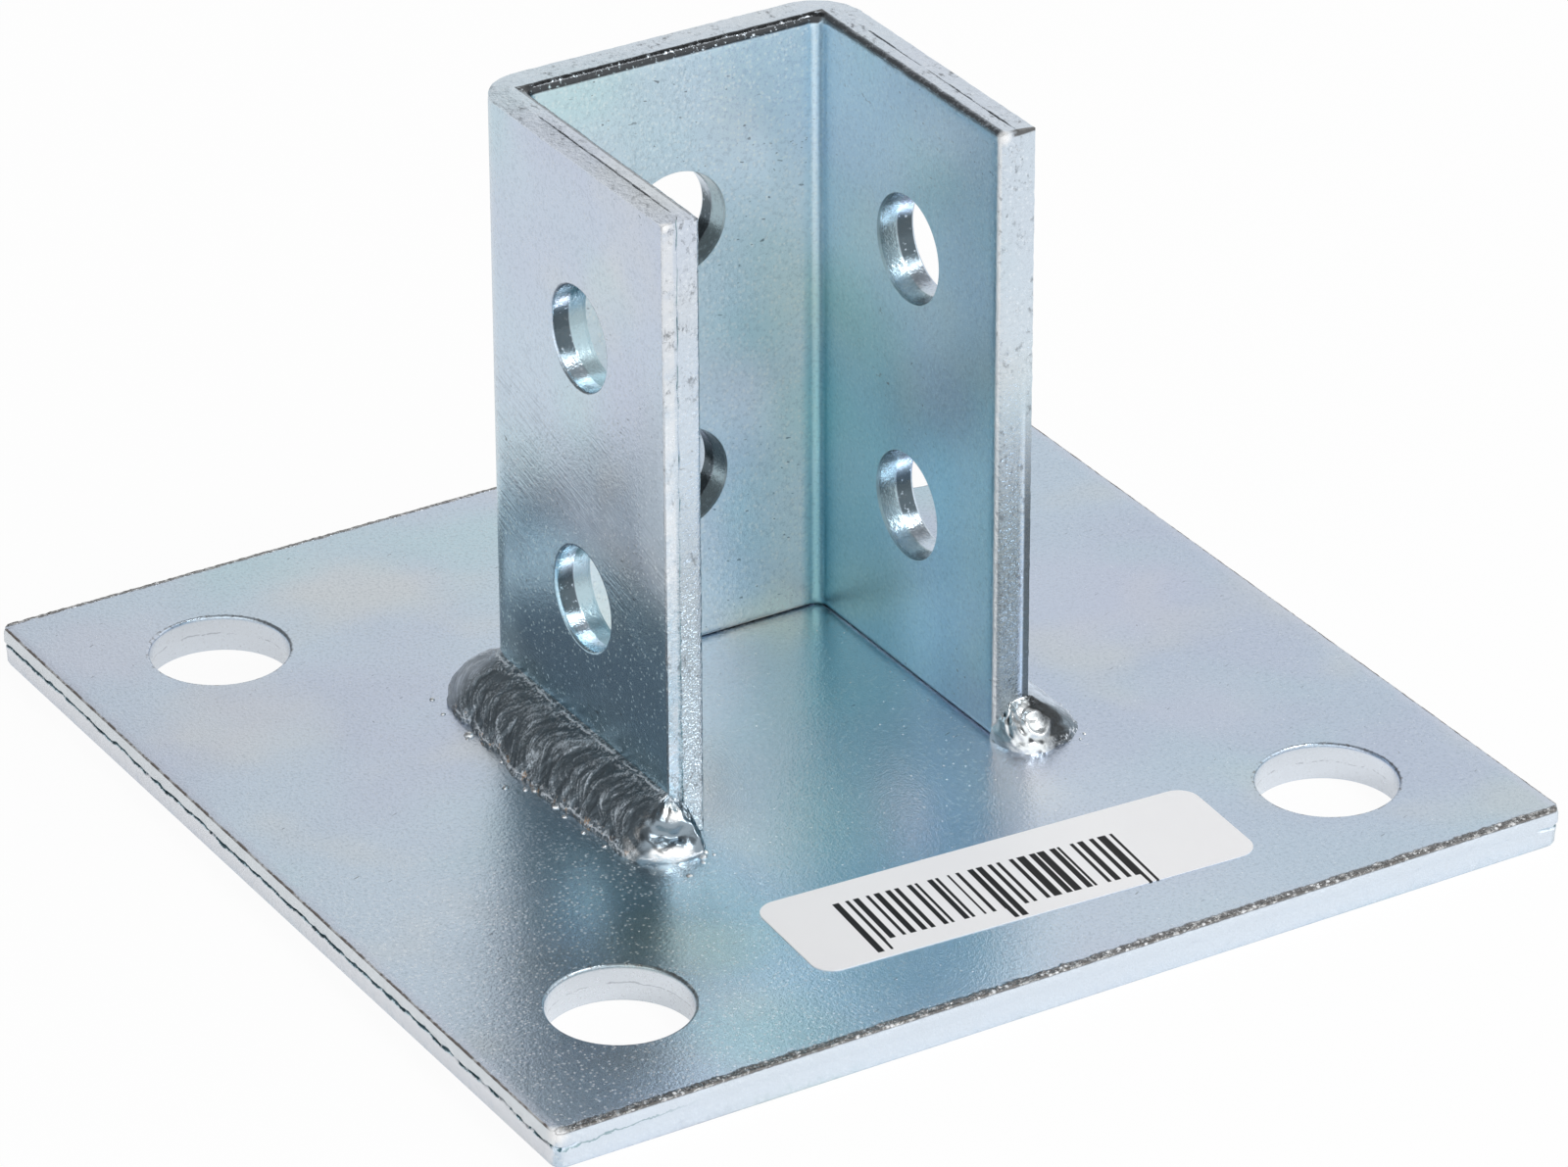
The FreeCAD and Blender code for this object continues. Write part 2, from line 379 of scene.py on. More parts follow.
only()
bpy.ops.mesh.primitive_grid_add(x_subdivisions=SECTION_PARTS, y_subdivisions=1, size=1)
channel = bpy.context.object
channel.name = channel.data.name = "folded_channel"
channel.scale = (STOCK * MM, END_STEP * MM, 1)
channel.location = Vector((-(INNER_X + STOCK / 2), FRONT_Y + END_STEP / 2, PLATE_TOP)) * MM
bpy.ops.object.transform_apply(location=True, rotation=True, scale=True)
edit(channel)
pick(channel, "EDGE", lambda p: p.y > FRONT_Y + END_STEP - 0.01)
flange_run = WEB_INNER_Y - BEND - FRONT_Y - END_STEP
web_run = 2 * (INNER_X - BEND)


def run_on(x, y, steps=WALL_STEPS):
    """Extrude the selected end of the strip by x and y millimetres in equal steps."""
    bpy.ops.mesh.extrude_repeat(steps=steps, offset=(x / steps * MM, y / steps * MM, 0))


def bend_right(x, y):
    """Spin the selected end a quarter turn clockwise about x and y."""
    centre = Vector((x, y, PLATE_TOP)) * MM
    bpy.ops.mesh.spin(steps=BEND_STEPS, angle=math.pi / 2, center=centre, axis=(0, 0, 1))


run_on(0, flange_run)
bend_right(-(INNER_X - BEND), WEB_INNER_Y - BEND)
run_on(web_run, 0)
bend_right(INNER_X - BEND, WEB_INNER_Y - BEND)
run_on(0, -flange_run)
run_on(0, -END_STEP, 1)
bpy.ops.mesh.select_all(action="SELECT")
bpy.ops.mesh.remove_doubles(threshold=0.001 * MM)
plan = [v.co / MM for v in bmesh.from_edit_mesh(channel.data).verts]
print("plan spans x", round(min(p.x for p in plan), 2), round(max(p.x for p in plan), 2),
      "y", round(min(p.y for p in plan), 2), round(max(p.y for p in plan), 2))

# %% Raise the plan to its height
RISE_STEPS = 84
rise = CHANNEL_TOP - PLATE_TOP - 2 * END_STEP
bpy.ops.mesh.select_mode(type="FACE")
bpy.ops.mesh.select_all(action="SELECT")
bpy.ops.mesh.extrude_region_move(TRANSFORM_OT_translate={"value": (0, 0, END_STEP * MM)})
bpy.ops.mesh.extrude_repeat(steps=RISE_STEPS, offset=(0, 0, rise / RISE_STEPS * MM))
bpy.ops.mesh.extrude_region_move(TRANSFORM_OT_translate={"value": (0, 0, END_STEP * MM)})
bpy.ops.mesh.select_all(action="SELECT")
bpy.ops.mesh.remove_doubles(threshold=0.001 * MM)
bpy.ops.mesh.normals_make_consistent(inside=False)
print("channel faces:", len(bmesh.from_edit_mesh(channel.data).faces))

# %% [markdown]
# ### The channel's edges
#
# The shear rolled the edges on the inside of the fold and tore them on the outside. The inner edges along the
# top, the foot and both fronts are bevelled. The outer half of the top and the fronts leans away. A narrow
# groove, where the smooth land ends and the tear begins, is bevelled along the tops and down the left front,
# where it lies nearer the outside, and is pushed in.

# %% Roll the inner edges and lean the outer halves
CHANNEL_ROLL = 1.1
BREAK_LEAN = 0.3
GROOVE = 0.13
GROOVE_DEPTH = 0.3
NEAR = 0.02


def across(p):
    """How far a point is from the inner side of the stock, from 0 inside to the full thickness outside."""
    bend_x = INNER_X - BEND
    bend_y = WEB_INNER_Y - BEND
    if p.y <= bend_y:
        return abs(p.x) - INNER_X
    if abs(p.x) <= bend_x:
        return p.y - WEB_INNER_Y
    return math.hypot(abs(p.x) - bend_x, p.y - bend_y) - BEND


def on_top(p):
    return p.z > CHANNEL_TOP - NEAR


def on_front(p):
    return p.y < FRONT_Y + NEAR


def inner_edge(p):
    return across(p) < NEAR and (on_top(p) or p.z < PLATE_TOP + NEAR)


def inner_front(p):
    return across(p) < NEAR and on_front(p)


pick(channel, "EDGE", inner_edge)
mesh = bmesh.from_edit_mesh(channel.data)
for edge in mesh.edges:
    if all(inner_front(v.co / MM) for v in edge.verts):
        edge.select_set(True)
bmesh.update_edit_mesh(channel.data)
bpy.ops.mesh.bevel(offset=CHANNEL_ROLL * MM, segments=ROLL_STEPS, profile=0.5, affect="EDGES")

HALF = STOCK / 2
LEFT_SLIDE = 0.9


def left_line(p):
    """True on the line of the left front's tear, after it was slid outwards."""
    return p.x < 0 and on_front(p) and abs(across(p) - HALF - LEFT_SLIDE) < NEAR


pick(channel, "VERT", lambda p: p.x < 0 and on_front(p) and abs(across(p) - HALF) < NEAR)
shift(x=-LEFT_SLIDE)
pick(channel, "EDGE", lambda p: left_line(p) or (on_top(p) and abs(across(p) - HALF) < NEAR))
bpy.ops.mesh.bevel(offset=GROOVE * MM, segments=2, affect="EDGES")
for share in (0.5, 1.0):
    place = HALF + share * HALF
    pick(channel, "VERT", lambda p: abs(across(p) - place) < NEAR and on_top(p))
    shift(z=-BREAK_LEAN * share)
    pick(channel, "VERT", lambda p: abs(across(p) - place) < NEAR and on_front(p))
    shift(y=BREAK_LEAN * share)
only(channel)
print("channel points with its edges made:", len(channel.data.vertices))

# %% Punch the bolt holes from outside
BOLT_HOLE = 14.29
BOLT_FIRST = 25.4
BOLT_PITCH = 38.1
left_wall = Matrix(((0, 0, -1), (0, 1, 0), (1, 0, 0)))
right_wall = Matrix(((0, 0, 1), (0, 1, 0), (-1, 0, 0)))
back_wall = Matrix(((1, 0, 0), (0, 0, 1), (0, -1, 0)))
bolt_entries = []
for row in range(2):
    z = PLATE_TOP + BOLT_FIRST + row * BOLT_PITCH
    bolt_entries += [((-OUTER_X, 0, z), left_wall), ((OUTER_X, 0, z), right_wall)]
    bolt_entries += [((0, WEB_OUTER_Y, z), back_wall)]
punch_holes(channel, BOLT_HOLE, bolt_entries)

# %% Press the groove in and shake the edges
FLANGE_BACK_Y = 14.0


def top_groove(p):
    return p.z > CHANNEL_TOP - 0.1 and p.y < FLANGE_BACK_Y and abs(across(p) - HALF) < NEAR


def front_band(p):
    """True on the left front, on both sides of its tear."""
    return p.x < 0 and on_front(p) and abs(across(p) - HALF - LEFT_SLIDE) < 0.3


def sheared_edges(p):
    return p.z > CHANNEL_TOP - EDGE_DEPTH or p.y < FRONT_Y + EDGE_DEPTH


mark(channel, "groove", lambda p: 1.0 if top_groove(p) or left_line(p) else 0.0)
mark(channel, "groove_top", lambda p: 1.0 if top_groove(p) else 0.0)
mark(channel, "groove_front", lambda p: 1.0 if left_line(p) else 0.0)
mark(channel, "front_band", lambda p: 1.0 if front_band(p) else 0.0)
mark(channel, "edges", lambda p: 1.0 if sheared_edges(p) else 0.0)
roughen(channel, "groove_top", 7.0, -GROOVE_DEPTH * 1.6, "Z", level=0.25)
roughen(channel, "groove_front", 7.0, GROOVE_DEPTH * 1.6, "Y", level=0.25)
roughen(channel, "front_band", 2.2, 0.6, "X", depth=3)
roughen(channel, "edges", 1.0, 0.2, "NORMAL", level=1.0, depth=3)
settle(channel)

# %% [markdown]
# ## The weld beads
#
# Each bead is a row of frozen puddles laid from back to front: it starts with a dome behind the flange, runs
# along its foot and turns round its front edge. Its ripples bow towards the start. No operator draws ripples
# that follow such a path, so the bead starts as a flat grid and every point of it is moved to its place: one
# way of the grid goes along the bead, the other round its section. The grid's UV map stays with it, so the
# material can follow the bead too.

# %% The path and the section of a bead
ROOT = 0.8
WELD_END = 2.8
MID_LEG = 4.3
BACK_Y = WEB_INNER_Y + 0.3
STATION_STEP = 0.17
# wrap across the front; plate leg, flange leg and crown of the run and of the front; swell of the plate leg
LEFT = {"wrap": 3.8, "run": (7.4, 6.6, 1.2), "swell": 1.4, "front": (5.7, 5.6, 0.9)}
RIGHT = {"wrap": 5.8, "run": (7.2, 5.0, 0.2), "swell": 0.0, "front": (5.9, 4.9, 0.8)}


def smooth(low, high, value):
    """0 at low, 1 at high and smooth between them; low may be the larger one."""
    t = min(1.0, max(0.0, (value - low) / (high - low)))
    return t * t * (3 - 2 * t)


def bell(value, centre, width):
    return math.exp(-(((value - centre) / width) ** 2))


def section_point(share, legs):
    """Place and outward direction in the section: share 0 is inside the flange, 1 the toe on the plate."""
    plate_leg, flange_leg, crown = legs
    down = share * (1 + ROOT / plate_leg) - ROOT / plate_leg
    bulge = 4 * crown * max(down, 0) * (1 - down)
    outward = Vector((flange_leg, plate_leg)).normalized()
    return Vector((ROOT, flange_leg)) + Vector((plate_leg, -flange_leg)) * down + outward * bulge, outward


def bead_stations(bead):
    """(distance, pivot x, pivot y, angle in degrees, squeeze, legs) at fine steps, for the left bead."""
    x = -OUTER_X + ROOT
    front = FRONT_Y + ROOT
    end_x = -OUTER_X + bead["wrap"] - WELD_END
    end_squeeze = WELD_END / (ROOT + bead["front"][0])
    spans = [
        (math.radians(150) * MID_LEG, lambda k: (x, BACK_Y, 30 + 150 * k, 1)),
        (BACK_Y - front, lambda k: (x, BACK_Y + (front - BACK_Y) * k, 180, 1)),
        (math.radians(90) * MID_LEG, lambda k: (x, front, 180 + 90 * k, 1)),
        (end_x - x, lambda k: (x + (end_x - x) * k, front, 270, 1)),
        (math.radians(90) * WELD_END, lambda k: (end_x, front, 270 + 90 * k, end_squeeze)),
    ]
    marks = [sum(length for length, place in spans[:n]) for n in range(len(spans) + 1)]
    stations = []
    for start, (length, place) in zip(marks, spans):
        steps = max(2, round(length / STATION_STEP))
        stations += [(start + length * k / steps,) + place(k / steps) for k in range(steps)]
    stations.append((marks[-1],) + spans[-1][1](1.0))
    middle = (marks[1] + marks[2]) / 2
    full = []
    for station in stations:
        turned = smooth(185, 262, station[3])
        legs = [run + (front - run) * turned for run, front in zip(bead["run"], bead["front"])]
        legs[0] += bead["swell"] * bell(station[0], middle, 14)
        full.append(station + (legs,))
    return full, marks


print("left bead's section: peak", section_point(0, LEFT["run"])[0], "toe", section_point(1, LEFT["run"])[0])

# %% Ripples, humps and lumps
RIPPLE = 0.5
HUMP = 2.6
BOW = 5.0
SECTION_STEPS = 44
RIPPLE_HEIGHT = 0.1
HUMP_HEIGHT = 0.16


def run_ripples(s, share, seed):
    """Arcs of the frozen puddles, bowed towards the start, from about -0.5 to 0.5: fine, coarse and hairs."""
    bowed = s + BOW * (1 - (2 * share - 1) ** 2)
    wander = noise.noise((bowed * 0.35, share * 2.5, seed)) * 1.6
    wander += noise.noise((bowed * 1.2, share * 5, seed)) * 0.5
    fine = abs(math.sin(math.pi * (bowed + wander) / RIPPLE)) - 0.6
    coarse = noise.noise(((bowed + wander) * 1.5 / HUMP, share * 1.5, seed + 20))
    hairs = noise.noise(((bowed + wander) * 2.4, share * 4, seed + 40))
    return fine * (0.6 + 0.8 * hairs), coarse, hairs


def creased_front(s, share, marks, seed):
    """The left bead's front: an upper and a lower lobe with a crease between them; the lobes get painted
    highlights, so the crease stays dark.
    """
    corner = bell(s, marks[2] + 4.4, 2.4)
    lobes = 0.4 * bell(share, 0.3, 0.14) + 0.35 * bell(share, 0.9, 0.09) - 0.9 * bell(share, 0.62, 0.1)
    bright = bell(s, marks[2] + 4.4, 1.7) * (bell(share, 0.3, 0.14) + bell(share, 0.9, 0.09))
    blotches = noise.noise((s * 0.9, share * 7, seed + 8))
    return corner * lobes + 0.35 * blotches, bright + 0.5 * bright * blotches


def crater_front(s, share, marks, seed):
    """The right bead's front: one puddle with a round crater, and rings on the side that froze first; the
    puddle gets painted highlights and the rings painted light and dark.
    """
    away = math.hypot((s - marks[3] - 0.4) * 0.9, (share - 0.56) * 7.5)
    crater = 0.34 * bell(away, 1.45, 0.35) - 0.12 * bell(away, 0, 0.9)
    rings = 0.06 * math.sin(2 * math.pi * away / 0.7) * smooth(3.0, 4.0, away)
    blotches = noise.noise((s * 0.8, share * 6, seed + 8))
    bright = smooth(marks[3] - 2.2, marks[3] - 1.2, s) * (0.75 + 0.9 * blotches)
    bright -= 0.4 * bell(away, 2.2, 0.35)
    return crater + rings + 0.3 * blotches, max(bright, bell(away, 0.8, 0.95)) + rings * 3


def bead_height(s, share, marks, seed, front):
    """How far the surface stands off the plain section, in millimetres, and its crest light from dark 0 to 1:
    painted shade in the ripples' valleys and painted highlights on their crests and on the front.
    """
    started = smooth(marks[1] * 0.6, marks[1] + 3, s)
    freezing = smooth(marks[2] + 0.5, marks[2] + 2.5, s)
    across_bead = max(-1.0, 2 * (share - 0.12) / 0.88 - 1)
    side = 1 - abs(across_bead) ** 6
    fine, coarse, hairs = run_ripples(s, share, seed)
    running = (0.6 + 0.4 * started) * (1 - freezing)
    front_height, front_highlights = front(s, share, marks, seed)
    height = running * (RIPPLE_HEIGHT * fine + HUMP_HEIGHT * coarse + 0.1 * hairs)
    height += 0.16 * noise.noise((s * 1.1, share * 9, seed + 3)) + freezing * front_height
    crumbs = abs(across_bead) ** 3 * max(0.0, noise.noise((s * 1.7, share * 8, seed + 60)))
    crest_light = (0.5 + 0.5 * fine + 0.3 * coarse + 0.45 * hairs) * (1 - freezing) + freezing * front_highlights
    return height * side + 0.5 * crumbs * (1 - abs(across_bead) ** 30), min(1.0, max(0.0, crest_light))


# %% [markdown]
# The grid's last rows close the section underneath: along the plate to the root, and up to the inner end.
# Rows that fall together are merged, and the two ends are filled, so each bead is one closed shape.


# %% From a grid to a bead
SECTION_ROWS = SECTION_STEPS + 3


def faces_at_edges(obj):
    """How many faces meet at each edge, to see whether a shape is closed."""
    mesh = bmesh.new()
    mesh.from_mesh(obj.data)
    counts = [len(e.link_faces) for e in mesh.edges]
    mesh.free()
    return counts


def close_ends(bead):
    """Merge doubles, fill what is open and turn the faces outwards."""
    edit(bead)
    bpy.ops.mesh.select_all(action="SELECT")
    bpy.ops.mesh.remove_doubles(threshold=0.004 * MM)
    bpy.ops.mesh.select_all(action="DESELECT")
    bpy.ops.mesh.select_mode(type="EDGE")
    bpy.ops.mesh.select_non_manifold(
        extend=False, use_wire=False, use_multi_face=False, use_non_contiguous=False, use_verts=False)
    bpy.ops.mesh.fill_holes(sides=0)
    bpy.ops.mesh.select_all(action="SELECT")
    bpy.ops.mesh.normals_make_consistent(inside=False)
    only(bead)
    bpy.ops.object.shade_smooth_by_angle(angle=math.radians(60))


def make_bead(name, bead_sizes, side, seed, front):
    """One bead, shaped for the left flange and mirrored for the right."""
    stations, marks = bead_stations(bead_sizes)
    last = len(stations) - 1
    only()
    bpy.ops.mesh.primitive_grid_add(x_subdivisions=last, y_subdivisions=SECTION_ROWS, size=1, calc_uvs=True)
    bead = bpy.context.object
    bead.name = bead.data.name = name
    crest_lights = [0.0] * len(bead.data.vertices)
    for v in bead.data.vertices:
        along = round((v.co.x + 0.5) * last)
        step = round((v.co.y + 0.5) * SECTION_ROWS)
        s, px, py, angle, squeeze, legs = stations[along]
        out = Vector((math.cos(math.radians(angle)) * squeeze, math.sin(math.radians(angle))))
        if step <= SECTION_STEPS:
            share = step / SECTION_STEPS
            flat, direction = section_point(share, legs)
            lift, crest_lights[v.index] = bead_height(s, share, marks, seed, front)
            flat = flat + direction * lift
            spread = 1 + 0.06 * noise.noise((s * 0.22, share, seed)) * share
            flat = Vector((flat.x * spread + 0.4 * noise.noise((s * 0.6, 5, seed)) * share, flat.y))
        else:
            closing = (Vector((MID_LEG, 0)), Vector((0, 0)), section_point(0, legs)[0])
            flat = closing[step - SECTION_STEPS - 1]
        radius = max(flat.x, 0.0)
        height = 0.0 if step == SECTION_STEPS else max(flat.y, 0.0)
        v.co = Vector((side * -(px + out.x * radius), py + out.y * radius, PLATE_TOP + height)) * MM
    crest_light = bead.data.attributes.new("crest_light", "FLOAT", "POINT")
    crest_light.data.foreach_set("value", crest_lights)
    close_ends(bead)
    bead.data.uv_layers[0].name = "bead"
    loose = sum(1 for faces in faces_at_edges(bead) if faces != 2)
    print(f"{name}: {len(bead.data.polygons)} faces, {marks[-1]:.1f} long, open or shared edges {loose}")
    return bead


# %% Lay the two beads
bead_left = make_bead("weld_left", LEFT, -1, 1.7, creased_front)
bead_right = make_bead("weld_right", RIGHT, 1, 6.2, crater_front)

# %% [markdown]
# ## Spatter beside the beads
#
# Drops of weld metal froze on the plate along the beads' toes. Each is a squashed ball that is half sunk in
# the plate. Random dust would do for most of them, but the larger ones are seen one by one, so each has its
# place. One ball is modelled, and each drop is a copy of it with its own mesh, sized, turned and joined to
# the rest.

# %% Freeze the drops
DROP_SHAPE = Vector((1.0, 1.25, 0.8))
SPATTER = [  # x, y, radius
    (-36.6, 15.6, 0.62), (-37.3, 14.9, 0.3), (-39.4, 0.9, 0.42), (-37.4, -0.9, 0.4), (-36.4, -1.6, 0.55),
    (-36.3, -6.9, 0.5), (-36.6, -9.8, 0.33), (-36.8, 22.4, 0.3), (-36.1, 26.7, 0.34), (-36.4, 7.2, 0.28),
    (-36.5, -14.6, 0.36), (-36.0, -19.2, 0.3), (-30.4, -31.4, 0.36), (-26.4, -28.2, 0.5),
    (-25.6, -27.2, 0.42), (-27.1, -29.4, 0.3), (-24.9, -28.4, 0.26), (33.4, -27.0, 0.24), (32.2, -27.9, 0.2),
]
only()
bpy.ops.mesh.primitive_ico_sphere_add(subdivisions=3, radius=MM)
ball = bpy.context.object
drops = []
for x, y, radius in SPATTER:
    only(ball)
    bpy.ops.object.duplicate(linked=False)
    drop = bpy.context.object
    drop.location = Vector((x, y, PLATE_TOP)) * MM
    drop.scale = DROP_SHAPE * radius
    drop.rotation_euler.z = x + y
    bpy.ops.object.transform_apply(location=True, rotation=True, scale=True)
    drops.append(drop)
bpy.data.objects.remove(ball)
only(drops[0])
for drop in drops:
    drop.select_set(True)
bpy.ops.object.join()
spatter = bpy.context.object
spatter.name = spatter.data.name = "weld_spatter"
mark(spatter, "skin", lambda p: 1.0 if p.z > PLATE_TOP + 0.02 else 0.0)
roughen(spatter, "skin", 0.35, 0.14, "NORMAL", level=0.6)
settle(spatter, 60)

# %% [markdown]
# ## The label
#
# A white paper label is stuck on the plate in front of the channel, a little askew. It is a plane with its
# corners rounded by a vertex bevel and extruded by the thickness of the paper.

# %% Cut the label
LABEL_LENGTH = 65.0
LABEL_WIDTH = 19.0
LABEL_CORNER = 3.0
LABEL_TURN = math.radians(-3.0)
label_low, label_high = node_box("paper_label")
label_centre = (label_low + label_high) / 2
LABEL_THICKNESS = label_high.z - label_low.z
label = start_plane("paper_label_sheet", LABEL_LENGTH, LABEL_WIDTH, label_low.z)
edit(label)
bpy.ops.mesh.select_all(action="SELECT")
bpy.ops.mesh.bevel(offset=LABEL_CORNER * MM, segments=10, affect="VERTICES")
bpy.ops.mesh.select_all(action="SELECT")
bpy.ops.mesh.extrude_region_move(TRANSFORM_OT_translate={"value": (0, 0, LABEL_THICKNESS * MM)})
only(label)
label.rotation_euler.z = LABEL_TURN
label.location = Vector((label_centre.x, label_centre.y, 0)) * MM
bpy.ops.object.transform_apply(location=True, rotation=True, scale=True)
settle(label)

# %% [markdown]
# ## Shader maths in plain Python
#
# A material's pattern is arithmetic on sockets. Wiring Math nodes by hand hides that, so one small class
# wraps a socket and gives it Python's operators. `add` makes any other node: its settings first, then its
# sockets.


# %% A socket with operators
class Wire:
    """One output socket. Arithmetic on it adds Math nodes to its tree."""

    def __init__(self, tree, socket):
        self.tree = tree
        self.socket = socket

    def add(self, kind, settings=None, sockets=None, out=0):
        node = self.tree.nodes.new(kind)
        for name, value in (settings or {}).items():
            setattr(node, name, value)
        for name, value in (sockets or {}).items():
            if isinstance(value, Wire):
                self.tree.links.new(value.socket, node.inputs[name])
            else:
                node.inputs[name].default_value = value
        return Wire(self.tree, node.outputs[out]) if node.outputs else None

    def math(self, operation, *values):
        return self.add("ShaderNodeMath", {"operation": operation}, dict(enumerate(values)))

    def __add__(self, other):
        return self.math("ADD", self, other)

    def __sub__(self, other):
        return self.math("SUBTRACT", self, other)

    def __rsub__(self, other):
        return self.math("SUBTRACT", other, self)

    def __mul__(self, other):
        return self.math("MULTIPLY", self, other)

    def __abs__(self):
        return self.math("ABSOLUTE", self)

    __radd__ = __add__
    __rmul__ = __mul__

    def most(self, other):
        return self.math("MAXIMUM", self, other)

    def rise(self, low, high):
        """0 below low, 1 above high and smooth between them; low may be the larger one."""
        if low > high:
            return 1 - self.rise(high, low)
        sockets = {"Value": self, "From Min": low, "From Max": high}
        return self.add("ShaderNodeMapRange", {"interpolation_type": "SMOOTHSTEP"}, sockets)

    def tint(self, plain, colour):
        """Colour that goes from plain to colour as this value goes from 0 to 1."""
        sockets = {0: self, 6: plain, 7: colour}
        return self.add("ShaderNodeMix", {"data_type": "RGBA"}, sockets, 2)

    def times(self, colour, factor):
        """Colour multiplied by factor, as far as this value says."""
        settings = {"data_type": "RGBA", "blend_type": "MULTIPLY"}
        return self.add("ShaderNodeMix", settings, {0: self, 6: colour, 7: factor}, 2)

    def cloud(self, size, detail=2.0, roughness=0.5, stretch=(1, 1, 1), turn=(0, 0, 0), shift=(0, 0, 0)):
        """Noise of the given size in millimetres, turned and then stretched, read at this place."""
        place = self
        if (stretch, turn, shift) != ((1, 1, 1), (0, 0, 0), (0, 0, 0)):
            sockets = {"Vector": self, "Location": shift, "Rotation": turn, "Scale": stretch}
            place = self.add("ShaderNodeMapping", {"vector_type": "TEXTURE"}, sockets)
        sockets = {"Vector": place, "Scale": 1 / size, "Detail": detail, "Roughness": roughness}
        return self.add("ShaderNodeTexNoise", None, sockets)

    def other(self, index):
        """Another output of the node that this one comes from."""
        return Wire(self.tree, self.socket.node.outputs[index])

    def axis(self, index):
        return self.add("ShaderNodeSeparateXYZ", None, {"Vector": self}, index)

    def bump(self, height, strength=1.0):
        """Normal from a height in millimetres."""
        return self.add("ShaderNodeBump", None, {"Height": height, "Strength": strength, "Distance": MM})


def new_finish(name):
    """A bare material: its surface shader node and the place on the piece, in millimetres."""
    finish = bpy.data.materials.new(name)
    finish.use_nodes = True
    tree = finish.node_tree
    tree.nodes.clear()
    shader = tree.nodes.new("ShaderNodeBsdfPrincipled")
    output = tree.nodes.new("ShaderNodeOutputMaterial")
    tree.links.new(shader.outputs[0], output.inputs[0])
    coordinates = tree.nodes.new("ShaderNodeTexCoord")
    metres = Wire(tree, coordinates.outputs["Object"])
    place = metres.add("ShaderNodeVectorMath", {"operation": "SCALE"}, {0: metres, "Scale": 1 / MM})
    return finish, shader, place


def feed(shader, **sockets):
    """Link or set the surface shader's own sockets; underscores stand for spaces."""
    for name, value in sockets.items():
        target = shader.inputs[name.replace("_", " ")]
        if isinstance(value, Wire):
            value.tree.links.new(value.socket, target)
        else:
            target.default_value = value
    print(f"a finish of {len(shader.id_data.nodes)} shader nodes")


# %% [markdown]
# ## Zinc plating
#
# Bright zinc with a clear passivated film: a pale blue-grey metal with faint lilac, straw and aqua clouds, a
# fine crystalline grain whose sparkle is painted in as pale specks, and short dark dashes from handling. The
# tints could be painted on, but clouds on Object coordinates hold on every face and need no unwrapping. Two
# materials share the recipe: the plate's and the channel's edges are in different places.

# %% The plating both pieces share
DASH = (0.16, 0.17, 0.18, 1)
TORN = (0.06, 0.12, 0.15, 1)
PALE = (0.80, 0.85, 0.89, 1)
BURNISHED_DARK_REFLECTION = (0.06, 0.085, 0.10, 1)
PAINTED_HIGHLIGHT = (0.90, 0.91, 0.92, 1)
FILM = (0.61, 0.72, 0.83, 1)
LILAC = (0.60, 0.67, 0.80, 1)
STRAW = (0.70, 0.74, 0.76, 1)
AQUA = (0.55, 0.73, 0.80, 1)
SHADE = (0.28, 0.34, 0.40, 1)


def grains(place, size, share, radius):
    """Round specks: the middles of scattered cells, in a share of the cells."""
    near = place.add("ShaderNodeTexVoronoi", None, {"Vector": place, "Scale": 1 / size})
    return near.rise(radius, radius * 0.4) * near.other(1).axis(0).rise(1 - share, 1 - share + 0.02)


def plating(place, sparkle):
    """Colour, roughness, height and metal share of the zinc; sparkle says where its pin specks, painted
    glints, are dense.
    """
    colour = place.cloud(46, 2, 0.55).rise(0.42, 0.66).tint(FILM, LILAC)
    colour = (place.cloud(30, 2, 0.55, shift=(40, 7, 3)).rise(0.52, 0.72) * 0.8).tint(colour, STRAW)
    colour = (place.cloud(38, 2, 0.55, shift=(5, 60, 20)).rise(0.5, 0.72) * 0.8).tint(colour, AQUA)
    grain = place.cloud(0.5, 2, 0.7)
    colour = (grain.rise(0.48, 0.68) * 0.25).tint(colour, SHADE)
    # The pale specks are painted glints of the crystalline grain, denser where sparkle is high.
    pins = grains(place, 0.62, 0.6, 0.5) * sparkle
    glint_specks = pins.most(grains(place, 1.3, 0.35, 0.13))
    colour = (glint_specks * 0.8).tint(colour, PALE)
    height = grain * 0.04 + place.cloud(22, 1, 0.5) * 0.1
    rough = 0.18 + place.cloud(9, 2, 0.6) * 0.08 + grain * 0.05
    return colour, rough, height, 1 - glint_specks * 0.65


def dashes(place, size, stretch, turn, low, high):
    """Short marks: peaks of a stretched noise."""
    return place.cloud(size, 1, 0.4, stretch, turn).rise(low, high)


def patch(place, centre, radius, ragged=None):
    """Round patch about a point, 1 in its middle; ragged shifts its border."""
    away = place.add("ShaderNodeVectorMath", {"operation": "DISTANCE"}, {0: place, 1: centre}, 1)
    if ragged:
        away = away + ragged
    return away.rise(radius, radius * 0.2)


def painted_light_zones(colour, zones):
    """Colour multiplied by each zone's factor in turn, as far as the zone's mask says: painted reflections
    and shade.
    """
    for mask, (red, green, blue) in zones:
        colour = mask.times(colour, (red, green, blue, 1))
    return colour


# %% [markdown]
# ### The plate's marks
#
# The torn line is darkened as painted shade in its groove. The rolled rim and the mouths of the holes are
# dark where the bath left them thin, and the rim is paler where handling rubbed it. The white dots on the
# bar's rough rim and the front left corner are painted highlights. The torn line was shaken by a modifier, so
# the material can't work out where it is: the points of the groove carry an attribute instead.

# %% An attribute for the torn grooves
def groove_attribute(obj, group_name):
    """Copy a vertex group to a point attribute named crack, which a material can read."""
    index = obj.vertex_groups[group_name].index
    weights = [0.0] * len(obj.data.vertices)
    for v in obj.data.vertices:
        for g in v.groups:
            if g.group == index:
                weights[v.index] = g.weight
    attribute = obj.data.attributes.new("crack", "FLOAT", "POINT")
    attribute.data.foreach_set("value", weights)
    print(f"{obj.name}: {sum(1 for w in weights if w > 0.5)} points are torn")


groove_attribute(plate, "groove")
groove_attribute(channel, "groove")

